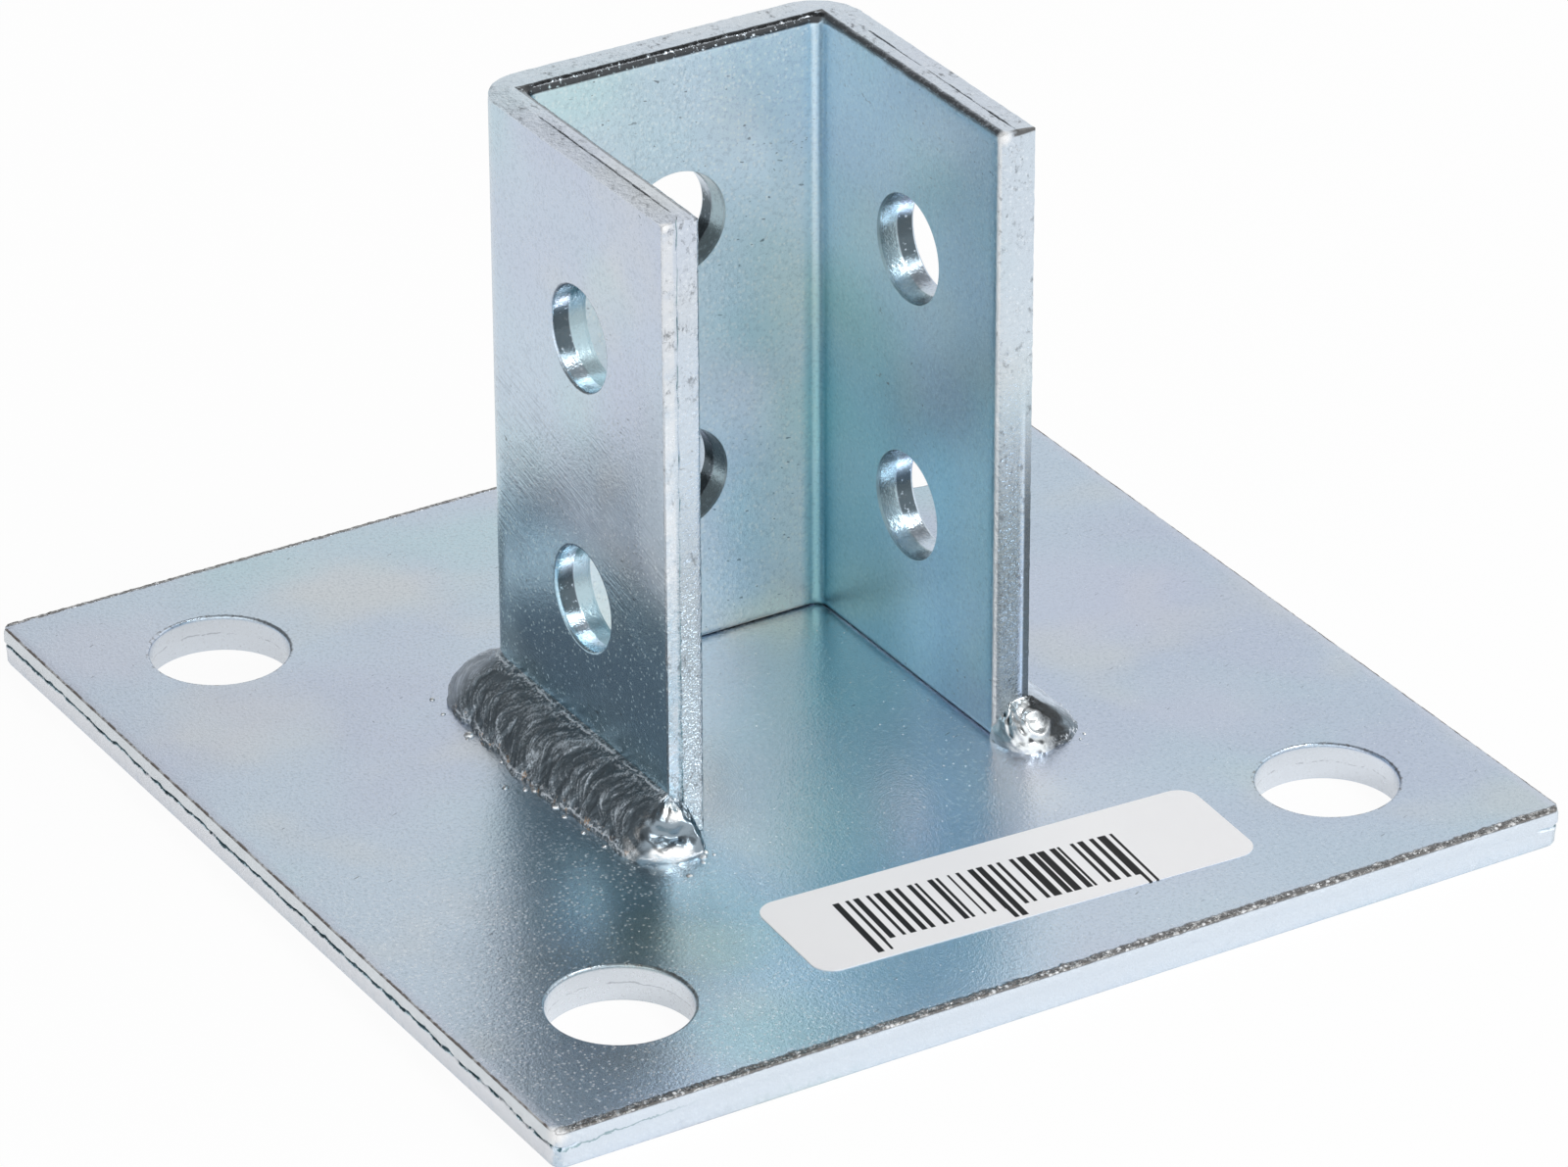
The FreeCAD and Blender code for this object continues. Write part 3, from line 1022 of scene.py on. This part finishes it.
# %% Plate finish
STAINS = (  # x, y, radius, colour
    (-40, -47, 12, (0.66, 0.72, 0.64, 1)), (-60, 36, 17, (0.74, 0.75, 0.74, 1)),
    (-66, 62, 16, (0.70, 0.69, 0.80, 1)), (55, 5, 20, (0.64, 0.65, 0.80, 1)),
    (52, -29, 14, (0.64, 0.66, 0.80, 1)),
)
plate_finish, shader, place = new_finish("zinc_plate")
x, y, z = (place.axis(k) for k in range(3))
edge = abs(x).most(abs(y))
colour, rough, height, metal = plating(place, (x.rise(0, -40) * y.rise(20, -30) * 0.5).most(0.2))
# Painted reflections and shade: lighter between the flanges, where the plate mirrors their walls, darker at
# the front left and about (-42, -43), where it mirrors the dark gap, and a little darker to the right.
between_flanges_reflection = abs(x).rise(26, 19) * y.rise(-48, -26) * y.rise(26, 20)
front_left_dark_reflection = x.rise(-66, -54) * x.rise(-28, -42) * y.rise(-32, -42)
colour = painted_light_zones(colour, (
    (between_flanges_reflection, (1.34, 1.2, 1.08)),
    (front_left_dark_reflection, (0.86, 0.86, 0.83)),
    (patch(place, (-42, -43, PLATE_TOP), 20), (0.7, 0.73, 0.74)),
    (x.rise(22, 40), (0.92, 0.94, 0.96)),
))
ragged = (place.cloud(11, 2, 0.6) - 0.5) * 14
for stain_x, stain_y, radius, stain in STAINS:
    colour = (patch(place, (stain_x, stain_y, PLATE_TOP), radius, ragged) * 0.35).tint(colour, stain)
crack = place.add("ShaderNodeAttribute", {"attribute_name": "crack"}, None, 2)
marks = dashes(place, 0.9, (2.2, 0.45, 1), (0, 0, 0.35), 0.75, 0.80)
marks = marks + dashes(place, 0.7, (0.5, 1.5, 1), (0, 0, -0.3), 0.78, 0.82)
handled = place.cloud(17, 2, 0.5, shift=(9, 3, 1)).rise(0.42, 0.6)
colour = (marks.rise(0.0, 1.0) * handled * 0.7).tint(colour, DASH)

# %% The plate's sides and rims
BROKEN_SIDE = (0.88, 0.90, 0.94, 1)
LAND_SIDE = (0.80, 0.84, 0.87, 1)
BAR_SIDE = (0.75, 0.82, 0.90, 1)
RUBBED = (0.60, 0.65, 0.76, 1)
RIM_PALE = (0.55, 0.56, 0.57, 1)
RIM_DARK = (0.17, 0.15, 0.14, 1)
PIT_DARK = (0.14, 0.125, 0.11, 1)
PIT_PALE = (0.66, 0.66, 0.65, 1)
TEAR_HALO = (0.48, 0.70, 0.80, 1)
BAR_LINE = (0.26, 0.40, 0.44, 1)
side = edge.rise(RIM - 0.45, RIM - 0.2) * z.rise(PLATE_TOP - 0.15, PLATE_TOP - 0.3)
sheared_side = abs(x).rise(RIM - 0.6, RIM - 0.45)
land = z.rise(TORN_Z - 0.3, TORN_Z + 0.3).tint(BROKEN_SIDE, LAND_SIDE)
colour = (side * 0.95).tint(colour, sheared_side.tint(BAR_SIDE, land))
worn = place.cloud(2.5, 3, 0.7)
rubbed = (edge + (worn - 0.5) * 3).rise(RIM - 2.2, RIM - 0.2) * z.rise(PLATE_TOP - 0.2, PLATE_TOP - 0.1)
colour = (rubbed * 0.6).tint(colour, RUBBED)
rim = (edge + (worn - 0.5) * 0.5).rise(RIM - 0.4, RIM - 0.2) * z.rise(PLATE_TOP - 0.3, PLATE_TOP - 0.2)
colour = rim.tint(colour, worn.rise(0.38, 0.56).tint(RIM_PALE, RIM_DARK))
on_bar = z.rise(PLATE_TOP - 0.6, PLATE_TOP - 0.4) * (1 - sheared_side)
rough_rim = (abs(y) + (worn - 0.5) * 1.2).rise(RIM - 1.25, RIM - 0.95) * on_bar
pitted = place.cloud(0.9, 4, 0.8).rise(0.5, 0.6)
# The white dots on the bar's rough rim are painted highlights; the pits between them keep their own dark and
# pale.
beads = grains(place, 0.9, 0.5, 0.4) * rough_rim
pits = pitted.tint(PIT_DARK, PIT_PALE)
colour = (rough_rim * 0.85).tint(colour, beads.tint(pits, PAINTED_HIGHLIGHT))
split = (place.cloud(2.6, 3, 0.7) - y.rise(-35, -62) * 0.14).rise(0.34, 0.42)
colour = (crack.rise(0.0, 0.4) * split * 0.8).tint(colour, TEAR_HALO)
# The torn line itself is darkened as painted shade in its groove.
jagged = crack + (place.cloud(0.6, 3, 0.8) - 0.5) * 1.6
colour = (crack.rise(0.0, 0.1) * jagged.rise(0.25, 0.4) * split).tint(colour, TORN)
bar_line = abs(z - 2.9 - (x + 72) * 0.05 + (place.cloud(1.6, 3, 0.7) - 0.5) * 1.6).rise(0.2, 0.06)
bar_line = bar_line * side * (1 - sheared_side) * x.rise(-54, -66) * y.rise(1.2 - RIM, 0.7 - RIM)
colour = (bar_line * 0.8).tint(colour, BAR_LINE)
# A painted highlight on the plate's front left corner.
corner = patch(place, (0.6 - RIM, 0.4 - RIM, PLATE_TOP - 0.4), 2.0, (worn - 0.5) * 2)
colour = corner.tint(colour, PAINTED_HIGHLIGHT)

# %% The anchor holes' walls
HOLE_WALL = (0.78, 0.82, 0.87, 1)
HOLE_BREAK = (0.35, 0.38, 0.42, 1)
HOLE_MOUTH = (0.20, 0.19, 0.18, 1)
hole_x, hole_y = abs(x) - ANCHOR_REACH, abs(y) - ANCHOR_REACH
squared = hole_x * hole_x + hole_y * hole_y
from_wall = squared.math("SQRT", squared) - ANCHOR_HOLE / 2
in_hole = from_wall.rise(PUNCH_ROLL + 0.175, PUNCH_ROLL - 0.025)
colour = (in_hole * z.rise(PLATE_TOP - 0.35, PLATE_TOP - 0.7) * 0.9).tint(colour, HOLE_WALL)
break_z = z + (place.cloud(2.2, 3, 0.6) - 0.5) * 1.0 - (PLATE_TOP - PUNCH_LAND)
break_line = in_hole * abs(break_z).rise(0.16, 0.06) * worn.rise(0.45, 0.55)
colour = (break_line * 0.5).tint(colour, HOLE_BREAK)
mouth = from_wall.rise(-0.025, 0.125) * from_wall.rise(PUNCH_ROLL + 0.125, PUNCH_ROLL - 0.025)
mouth = mouth * z.rise(PLATE_TOP - 0.45, PLATE_TOP - 0.3)
colour = (mouth * pitted * 0.75).tint(colour, HOLE_MOUTH)
rough = rough + side * worn * 0.4 + rim * 0.35
metal = metal - corner * 0.8 - rim * 0.5 - rubbed * 0.25 - beads * 0.7
height = height + (side * 0.1 + rough_rim * 0.3) * place.cloud(0.55, 2, 0.7)
feed(shader, Base_Color=colour, Roughness=rough, Metallic=metal, Normal=place.bump(height))

# %% [markdown]
# ### The channel's marks
#
# The same film looks different on each wall, because each one mirrors another part of the room and the walls
# mirror each other. The tones below paint those reflections into the colour, wall by wall. The sheared edges
# are rubbed and scuffed, and carry painted light: a highlight along the right front's rolled inner edge and
# on two top corners, a dark reflection along the rolled top, and shade on the right front's outer strip and
# in the tears. The holes' lands are burnished, with a painted dark reflection across them, and the left wall
# is brushed from handling.

# %% Channel finish
channel_finish, shader, place = new_finish("zinc_channel")
x, y, z = (place.axis(k) for k in range(3))
outer_left = x.rise(-25.5, -27.6)
colour, rough, height, metal = plating(place, (outer_left * z.rise(62, 38) * 0.8).most(0.4))
inside = (abs(x) - INNER_X).most(y - WEB_INNER_Y)
inner = inside.rise(0.5, 0.25)
on_web = y.rise(21.2, 21.9)
web = inner * on_web
right = inner * x.rise(19, 21.5)
low_left = outer_left * z.rise(44, 34)
# Painted reflections and shade: each inner wall is lightened or darkened by what it mirrors, and the foot of
# the outer left wall is retinted as a painted reflection.
colour = painted_light_zones(colour, (
    (inner, (1.08, 1.06, 1.01)),
    (web, (1.33, 1.2, 1.12)),
    (web * z.rise(58, 86), (0.98, 1.04, 1.1)),
    (web * x.rise(9, 18) * z.rise(66, 50), (1.1, 1.06, 1.0)),
    (web * x.rise(8, -8), (0.76, 0.82, 0.82)),
    (right, (0.78, 0.9, 0.95)),
    (right * z.rise(72, 42), (0.84, 0.97, 0.98)),
    (right * y.rise(-8, 6) * z.rise(66, 50), (0.74, 0.8, 0.78)),
    (right * y.rise(-18, -8) * z.rise(52, 40), (0.84, 0.95, 1.0)),
    (right * y.rise(-4, 9) * z.rise(34, 18), (0.74, 0.85, 0.87)),
    (low_left, (0.86, 1.04, 1.07)),
))
crack = place.add("ShaderNodeAttribute", {"attribute_name": "crack"}, None, 2)
marks = dashes(place, 1.0, (1, 1, 0.5), (0.3, 0.2, 0.0), 0.72, 0.78)
colour = (marks * place.cloud(17, 2, 0.5).rise(0.42, 0.6) * 0.7).tint(colour, DASH)

# %% The channel's sheared edges
RIGHT_FRONT = (0.20, 0.24, 0.25, 1)
LEFT_FRONT = (0.44, 0.50, 0.53, 1)
POLISHED = (0.86, 0.88, 0.90, 1)
SHADED = (0.14, 0.16, 0.17, 1)
DARK_TOP = (0.10, 0.095, 0.09, 1)
TOP_TEAR = (0.10, 0.11, 0.12, 1)
FRONT_TEAR = (0.30, 0.42, 0.46, 1)
ROLL_DARK_REFLECTION = (0.06, 0.065, 0.07, 1)
front_face = y.rise(FRONT_Y + 0.95, FRONT_Y + 0.75)
sheared = z.rise(CHANNEL_TOP - 0.6, CHANNEL_TOP - 0.4).most(front_face)
from_outer = OUTER_X - abs(x)
on_left, on_right = x.rise(1, -1), x.rise(-1, 1)
colour = (sheared * 0.35).tint(colour, PALE)
dull = front_face * z.rise(66, 30) * from_outer.rise(1.2, 2.2)
colour = (dull * 0.8).tint(colour, on_left.tint(RIGHT_FRONT, LEFT_FRONT))
polished = front_face * on_left * from_outer.rise(1.6, 1.3)
colour = (polished * place.cloud(3, 3, 0.6).rise(0.3, 0.6) * 0.65).tint(colour, POLISHED)
shaded = front_face * on_right * from_outer.rise(1.3, 0.9) * z.rise(62, 34)
colour = shaded.tint(colour, SHADED)
# A painted highlight along the rolled inner edge of the right front.
lip_highlight = on_right * inside.rise(0.55, 0.3) * y.rise(FRONT_Y + 1.1, FRONT_Y + 0.8)
colour = (lip_highlight * 0.8).tint(colour, PAINTED_HIGHLIGHT)
top_front = on_right * z.rise(CHANNEL_TOP - 0.9, CHANNEL_TOP - 0.6) * y.rise(FRONT_Y + 0.9, FRONT_Y + 0.6)
top_front = top_front * (from_outer + (place.cloud(1.2, 3, 0.7) - 0.5) * 3).rise(4.0, 2.8)
colour = (top_front * 0.9).tint(colour, DARK_TOP)
scuffs = place.cloud(0.9, 4, 0.75, (1, 1.5, 1.5)).rise(0.52, 0.68) * place.cloud(5, 2, 0.5).rise(0.38, 0.6)
colour = (sheared * scuffs * 0.7).tint(colour, DASH)
# The tears on top and down the left front are darkened as painted shade in their groove.
split = place.cloud(5, 3, 0.7).rise(0.46, 0.53)
tear = (front_face * on_left).tint(TOP_TEAR, FRONT_TEAR)
colour = (crack.rise(0.2, 0.8) * split).tint(colour, tear)
# A painted dark reflection along the rolled inner top edge, darker on the web and broken by small gaps.
rolled_top_dark_reflection = inside.rise(1.25, 1.0) * (z + on_web * 0.65 - CHANNEL_TOP).rise(-0.75, -0.45)
rolled_top_dark_reflection = rolled_top_dark_reflection * (0.6 + on_web * 0.4) * place.cloud(0.7, 3, 0.7).rise(0.7, 0.58)
colour = rolled_top_dark_reflection.tint(colour, ROLL_DARK_REFLECTION)

# %% The bolt holes' lands
HOLE_FLARE = (0.34, 0.46, 0.50, 1)
BOLT_MOUTH = BOLT_HOLE / 2 + PUNCH_ROLL
at_web = y.rise(15, 16)
from_middle = z - (PLATE_TOP + BOLT_FIRST + BOLT_PITCH / 2)
from_row = abs(from_middle) - BOLT_PITCH / 2
above = from_row * (from_middle.rise(-1, 1) * 2 - 1)
from_axis = abs(x).math("MINIMUM", abs(x), abs(y))
squared = from_axis * from_axis + from_row * from_row
in_hole = squared.rise((BOLT_MOUTH + 0.155) ** 2, (BOLT_MOUTH + 0.005) ** 2)
depth = from_outer * (1 - at_web) + (WEB_OUTER_Y - y) * at_web
land = in_hole * depth.rise(0.3, 0.5) * depth.rise(2.9, 2.6)
colour = (in_hole * depth.rise(2.6, 2.9) * 0.85).tint(colour, HOLE_FLARE)
sparks = place.cloud(0.8, 3, 0.7).rise(0.6, 0.7) * 0.6
glint = (place.cloud(3, 2, 0.6) - 0.5) * 3
# A painted dark reflection across part of each burnished land, broken by bright sparks.
half_way = (above + sparks * 3 + glint).rise(4.0, 0.0) * (above + glint).rise(-7.0, -4.5)
colour = (land * half_way * (0.95 - sparks)).tint(colour, BURNISHED_DARK_REFLECTION)

# %% The corners' painted highlights and the brushed left side
# Painted highlights on the inner top front corner of the right flange and the outer one of the left flange.
corner = patch(place, (INNER_X + 0.7, FRONT_Y + 0.4, CHANNEL_TOP - 0.6), 1.5, scuffs * 0.6)
corner = corner.most(patch(place, (-OUTER_X + 0.3, FRONT_Y + 0.4, CHANNEL_TOP - 0.5), 1.2, scuffs * 0.6))
colour = corner.tint(colour, PAINTED_HIGHLIGHT)
rough = rough + inner * 0.08 - land * 0.06 - rolled_top_dark_reflection * 0.06 + sheared * scuffs * 0.2
zone = outer_left * z.rise(64, 52) * z.rise(24, 34) * place.cloud(12, 1, 0.5).rise(0.36, 0.6)
brushed = place.cloud(0.4, 2, 0.7, (1, 16, 1), (0.25, 0, 0))
colour = (zone * brushed.rise(0.52, 0.66) * 0.35).tint(colour, SHADE)
rubbed = outer_left * (y + (brushed - 0.5) * 6).rise(FRONT_Y + 11, FRONT_Y + 3)
rubbed = rubbed * z.rise(34, 46) * z.rise(74, 62)
at_fold = low_left * (y + (brushed - 0.5) * 8).rise(15, 22)
lit_web = web * x.rise(7, 19) * z.rise(84, 66)
height = height + (sheared * 0.08 + dull * 0.26) * place.cloud(0.7, 2, 0.7) + zone * brushed * 0.07
metal = metal - corner * 0.8 - lip_highlight * 0.6 - rubbed * 0.6 - at_fold * 0.3 - lit_web * 0.3
feed(shader, Base_Color=colour, Roughness=rough, Metallic=metal, Normal=place.bump(height))

# %% [markdown]
# ## Weld metal
#
# The bead is plated too, but the rough weld surface took the bath badly: charcoal along the run, smoother and
# paler at the start, and glossy where the last puddle froze round the front. Light and shade are painted into
# its colour: shade in the ripples' valleys, highlights on their crests and on the front's lobes, and a dark
# reflection on the right bead's side. A plain texture couldn't follow it round the flange, so the bead's own
# UV map says how far along it each point is, and an attribute on its points says where the ripples' painted
# highlights and shade fall.

# %% Weld finish
CHARCOAL = (0.22, 0.27, 0.31, 1)
CREST_HIGHLIGHT = (0.76, 0.85, 0.93, 1)
PALE_START = (0.76, 0.85, 0.97, 1)
OLIVE = (0.022, 0.018, 0.014, 1)
CRUMB = (0.80, 0.86, 0.92, 1)
TAN = (0.66, 0.47, 0.33, 1)
TAN_SHARE = 0.85
GLOSSY_END = (0.84, 0.86, 0.87, 1)
DULL_END = (0.74, 0.78, 0.80, 1)


def weld_finish(name, bright_end, pale_to=None, end_from=None, olive=0.0):
    """Plated weld metal, pale up to a share of the bead's length and glossy from another share on, with
    painted highlights there.

    The more olive it is between the two, the darker its side is painted as a dark reflection, and the fewer
    tan spots it has. A drop of spatter follows no bead, so it has no such shares.
    """
    finish, shader, place = new_finish(name)
    sparkle = place.cloud(0.3, 3, 0.75)
    if pale_to:
        uv = place.add("ShaderNodeUVMap", {"uv_map": "bead"})
        along = uv.axis(0) + (place.cloud(2.5, 3, 0.6) - 0.5) * 0.06
        share = uv.axis(1) * (SECTION_ROWS / SECTION_STEPS)
        crest_light = place.add("ShaderNodeAttribute", {"attribute_name": "crest_light"}, None, 2)
        start = along.rise(pale_to + 0.02, pale_to - 0.04)
        # A painted dark reflection on the right bead's side, olive and near black.
        olive_dark_reflection = (along + (0.4 - share) * 0.08).rise(pale_to - 0.01, pale_to + 0.02) * olive
        wandering = share + (place.cloud(1.3, 3, 0.7) - 0.5) * 0.12
        upper, lower = (abs(wandering - line).rise(0.022, 0.006) for line in (0.13, 0.95))
        hairs = upper.most(lower)
        hairs = hairs * (1 - olive_dark_reflection) * place.cloud(4, 2, 0.6).rise(0.42, 0.5)
        end = along.rise(end_from, end_from + 0.04)
        toe = share.rise(0.86, 0.92)
        rims = toe.most(share.rise(0.26, 0.18)) * (1 - end)
    else:
        crest_light = place.cloud(0.8, 2, 0.5)
        start = place.cloud(1.0, 2, 0.5).rise(0.6, 0.8)
        end = place.cloud(3.0, 2, 0.5).rise(0.35, 0.5)
        toe = place.cloud(2.0, 1, 0.5).rise(0.4, 0.6)
        rims = toe * 0.5
        olive_dark_reflection = hairs = toe * 0.2
    # Painted shade and highlights: charcoal in the ripples' valleys, pale on their crests, and the end colour
    # where the front's painted highlights fall.
    colour = ((crest_light - 0.5) + (sparkle - 0.5) * 1.8).rise(-0.05, 0.5).tint(CHARCOAL, CREST_HIGHLIGHT)
    colour = (start * (0.35 + crest_light * 0.6)).tint(colour, PALE_START)
    colour = (olive_dark_reflection * (1.25 - sparkle * 0.6)).tint(colour, OLIVE)
    colour = (end * crest_light.rise(0.15, 0.5)).tint(colour, bright_end)
    crumbs = (rims * place.cloud(0.7, 3, 0.8).rise(0.52, 0.6)).most(hairs)
    colour = (crumbs * 0.8).tint(colour, CRUMB)
    tan_spots = toe * place.cloud(1.4, 3, 0.7, shift=(3, 8, 1)).rise(0.57, 0.64) * (1 - start) * (1 - end)
    colour = (tan_spots * (TAN_SHARE - olive)).tint(colour, TAN)
    rough = 0.26 + sparkle * 0.2 - end * 0.16 + olive_dark_reflection * (1 - end) * 0.25
    worn = (start * 0.5).most(crest_light.rise(0.55, 0.95) * 0.3)
    matt = crumbs * 0.8 + worn * (1 - end) * (1 - olive_dark_reflection)
    height = (sparkle * 0.14 + crumbs * 0.15) * (1 - end * 0.8)
    feed(shader, Base_Color=colour, Roughness=rough, Metallic=1 - matt, Normal=place.bump(height))
    return finish


left_finish = weld_finish("plated_weld_left", GLOSSY_END, pale_to=0.18, end_from=0.82)
right_finish = weld_finish("plated_weld_right", DULL_END, pale_to=0.82, end_from=0.88, olive=0.85)
drop_finish = weld_finish("plated_spatter", GLOSSY_END)

# %% [markdown]
# ## Label paper
#
# White coated paper with a faint tooth, printed with a block of bars. They could be modelled or drawn in an
# image, but a little arithmetic prints them: each cell of the block holds two bars whose widths are left to
# chance, so they look like any printed bars and say nothing. Those at the ends and in the middle are longer.

# %% The bars
PRINT_SKEW = math.radians(2.2)
CELL = 2.96
CELLS = 14
BARS_MIDDLE = -2.6
BARS_TOP = 4.2
BARS_BOTTOM = -6.6
LONGER = 2.5
END_BARS = 18.4
MIDDLE_BARS = 1.05
paper_finish, shader, place = new_finish("label_paper")
centred = place.add("ShaderNodeMapping", {"vector_type": "TEXTURE"}, {
    "Vector": place, "Location": (label_centre.x, label_centre.y, 0),
    "Rotation": (0, 0, LABEL_TURN - PRINT_SKEW)})
along, up = centred.axis(0), centred.axis(1)
cells = (along - BARS_MIDDLE) * (1 / CELL)
cell = along.math("FLOOR", cells)
chance = along.add("ShaderNodeTexWhiteNoise", {"noise_dimensions": "1D"}, {"W": cell}, 1)
within = along.math("FRACT", cells)
first_end = 0.14 + chance.axis(0) * 0.3
second_start = 0.54 + chance.axis(1) * 0.12
second_end = second_start + 0.12 + chance.axis(2) * 0.2
from_middle = abs(along - BARS_MIDDLE)
tall = from_middle.rise(END_BARS, END_BARS + 0.1).most(from_middle.rise(MIDDLE_BARS + 0.1, MIDDLE_BARS))
bottom = BARS_BOTTOM - tall * LONGER
first = (first_end - within).rise(0.0, 0.02)
second = (within - second_start).rise(0.0, 0.02) * (second_end - within).rise(0.0, 0.02)
BLOCK_HALF = CELLS * CELL / 2
block = from_middle.rise(BLOCK_HALF, BLOCK_HALF - 0.04) * up.rise(BARS_TOP + 0.05, BARS_TOP)
bars = first.most(second) * block * (up - bottom).rise(0.0, 0.05)

# %% Label finish
PAPER = (0.86, 0.86, 0.87, 1)
PAPER_SHADE = (0.82, 0.82, 0.84, 1)
INK = (0.005, 0.005, 0.006, 1)
tooth = place.cloud(0.25, 3, 0.6)
colour = (place.cloud(14, 2, 0.5).rise(0.35, 0.75) * 0.5).tint(PAPER, PAPER_SHADE)
colour = (bars * 0.98).tint(colour, INK)
rough = 0.42 + tooth * 0.15
feed(shader, Base_Color=colour, Roughness=rough, Specular_IOR_Level=0.1, Normal=place.bump(tooth * 0.006))

# %% Assign the finishes
for piece, finish in ((plate, plate_finish), (channel, channel_finish), (bead_left, left_finish),
                      (bead_right, right_finish), (spatter, drop_finish), (label, paper_finish)):
    piece.data.materials.clear()
    piece.data.materials.append(finish)
    print(f"{piece.name} wears {finish.name}")

# %% [markdown]
# ## Studio
#
# A white sweep in soft light. Metal shows what surrounds it, so the surroundings matter more than the lamps:
# pale walls to the right, a darker gap to the left behind the part, and a dimmer ceiling give the plate its
# even sheen and the upright its dark foot. The floor is white to the camera and to reflections, and keeps the
# part's shadow.

# %% Floor
FLOOR_SIDE = 8
FLOOR_DROP = 0.05
SEEN_GLOW = 0.94
MIRRORED_GLOW = 0.55
only()
bpy.ops.mesh.primitive_plane_add(size=FLOOR_SIDE, location=(0, 0, -FLOOR_DROP * MM))
floor = bpy.context.object
floor.name = "studio_floor"
sweep = bpy.data.materials.new("studio_white")
sweep.use_nodes = True
tree = sweep.node_tree
tree.nodes.clear()
path = tree.nodes.new("ShaderNodeLightPath")
seen = Wire(tree, path.outputs["Is Camera Ray"])
mirrored = Wire(tree, path.outputs["Is Glossy Ray"])
matt = seen.add("ShaderNodeBsdfDiffuse", None, {"Color": (0.9, 0.9, 0.9, 1)})
glow = seen.add("ShaderNodeEmission", None, {"Color": (1, 1, 1, 1), "Strength": 1.0})
share = seen * SEEN_GLOW + mirrored * MIRRORED_GLOW
white = seen.add("ShaderNodeMixShader", None, {0: share, 1: matt, 2: glow})
white.add("ShaderNodeOutputMaterial", None, {"Surface": white})
floor.data.materials.append(sweep)
print("floor", FLOOR_SIDE, "metres square")

# %% Walls of light
WALLS = 0.86
FRONT_LIFT = 0.42
GAP_DROP = 0.69
GAP_AIM = (-0.5, 0.72, 0.48)
CEILING_DIM = 0.65
BRIGHTEST = WALLS + FRONT_LIFT
world = bpy.data.worlds.new("studio")
bpy.context.scene.world = world
world.use_nodes = True
tree = world.node_tree
tree.nodes.clear()
direction = Wire(tree, tree.nodes.new("ShaderNodeTexCoord").outputs["Generated"])


def facing(aim):
    """How nearly a direction of the surroundings points at aim, as a cosine."""
    aim = Vector(aim).normalized()
    return direction.add("ShaderNodeVectorMath", {"operation": "DOT_PRODUCT"}, {0: direction, 1: aim}, 1)


up = direction.axis(2)
level = WALLS + direction.axis(1).rise(0.1, -0.4) * FRONT_LIFT
level = level - facing(GAP_AIM).rise(0.55, 0.88) * up.rise(0.9, 0.75) * GAP_DROP
level = level * (1 - up.rise(0.66, 0.86) * CEILING_DIM)
path = tree.nodes.new("ShaderNodeLightPath")
seen = Wire(tree, path.outputs["Is Camera Ray"])
backdrop = seen.add("ShaderNodeBackground", None, {"Color": (1, 1, 1, 1), "Strength": 1.0})
dark = seen.add("ShaderNodeBackground", None, {"Color": (0, 0, 0, 1), "Strength": 0.0})
bright = seen.add("ShaderNodeBackground", None, {"Color": (1, 1, 1, 1), "Strength": BRIGHTEST})
walls = seen.add("ShaderNodeMixShader", None, {0: level * (1 / BRIGHTEST), 1: dark, 2: bright})
room = seen.add("ShaderNodeMixShader", None, {0: seen, 1: walls, 2: backdrop})
room.add("ShaderNodeOutputWorld", None, {"Surface": room})
print("walls shine at", WALLS, "and before the part at", round(BRIGHTEST, 2))

# %% Softbox
LAMP_PLACE = Vector((0.48, -0.54, 1.15))
LAMP_AIM = Vector((0, 0, 0.04))
LAMP_SIDE = 0.5
LAMP_POWER = 6.0
only()
bpy.ops.object.light_add(type="AREA", location=LAMP_PLACE)
lamp = bpy.context.object
lamp.name = "front_softbox"
lamp.data.shape = "SQUARE"
lamp.data.size = LAMP_SIDE
lamp.data.energy = LAMP_POWER
lamp.rotation_euler = (LAMP_AIM - LAMP_PLACE).to_track_quat("-Z", "Y").to_euler()
bpy.context.scene.view_settings.view_transform = "Standard"
print("softbox", round((LAMP_AIM - LAMP_PLACE).length, 2), "metres away")

# %% [markdown]
# ## Camera
#
# The picture was taken from above and to the left with a long lens. The angles and the distance come from
# fitting the plate's corners, the holes and the channel's edges to the picture.

# %% Camera
AZIMUTH = math.radians(-31.193)
ELEVATION = math.radians(28.510)
ROLL = math.radians(-0.205)
DISTANCE = 1.035187
AIM = Vector((-0.011711, -0.024372, 0.040))
IMAGE_WIDTH = 1600
FOCAL_PIXELS = 8195.157
SENSOR_WIDTH = 36
only()
bpy.ops.object.camera_add()
camera = bpy.context.object
level_back = Vector((math.sin(AZIMUTH), -math.cos(AZIMUTH), 0)) * math.cos(ELEVATION)
back = level_back + Vector((0, 0, math.sin(ELEVATION)))
turned = Matrix.Rotation(ROLL, 3, "Z").to_quaternion()
camera.location = AIM + back * DISTANCE
camera.rotation_mode = "QUATERNION"
camera.rotation_quaternion = (-back).to_track_quat("-Z", "Y") @ turned
camera.data.sensor_width = SENSOR_WIDTH
camera.data.lens = FOCAL_PIXELS * SENSOR_WIDTH / IMAGE_WIDTH
camera.data.clip_start = 0.01
bpy.context.scene.camera = camera
print("lens", round(camera.data.lens, 2), "camera at", [round(v, 4) for v in camera.location])

# %% [markdown]
# ## Hand over
#
# Each piece rides on the part's one body and takes the place of the imported node that it was modelled after.
# The spatter replaces nothing.

# %% Hand over
pieces = (
    (plate, "base_plate", "zinc_plated_steel"),
    (channel, "u_channel", "zinc_plated_steel"),
    (bead_left, "weld_bead_left", "plated_weld"),
    (bead_right, "weld_bead_right", "plated_weld"),
    (label, "paper_label", "label_paper"),
)
for piece, node, slot in pieces:
    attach(piece, "root")
    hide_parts(node)
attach(spatter, "root")
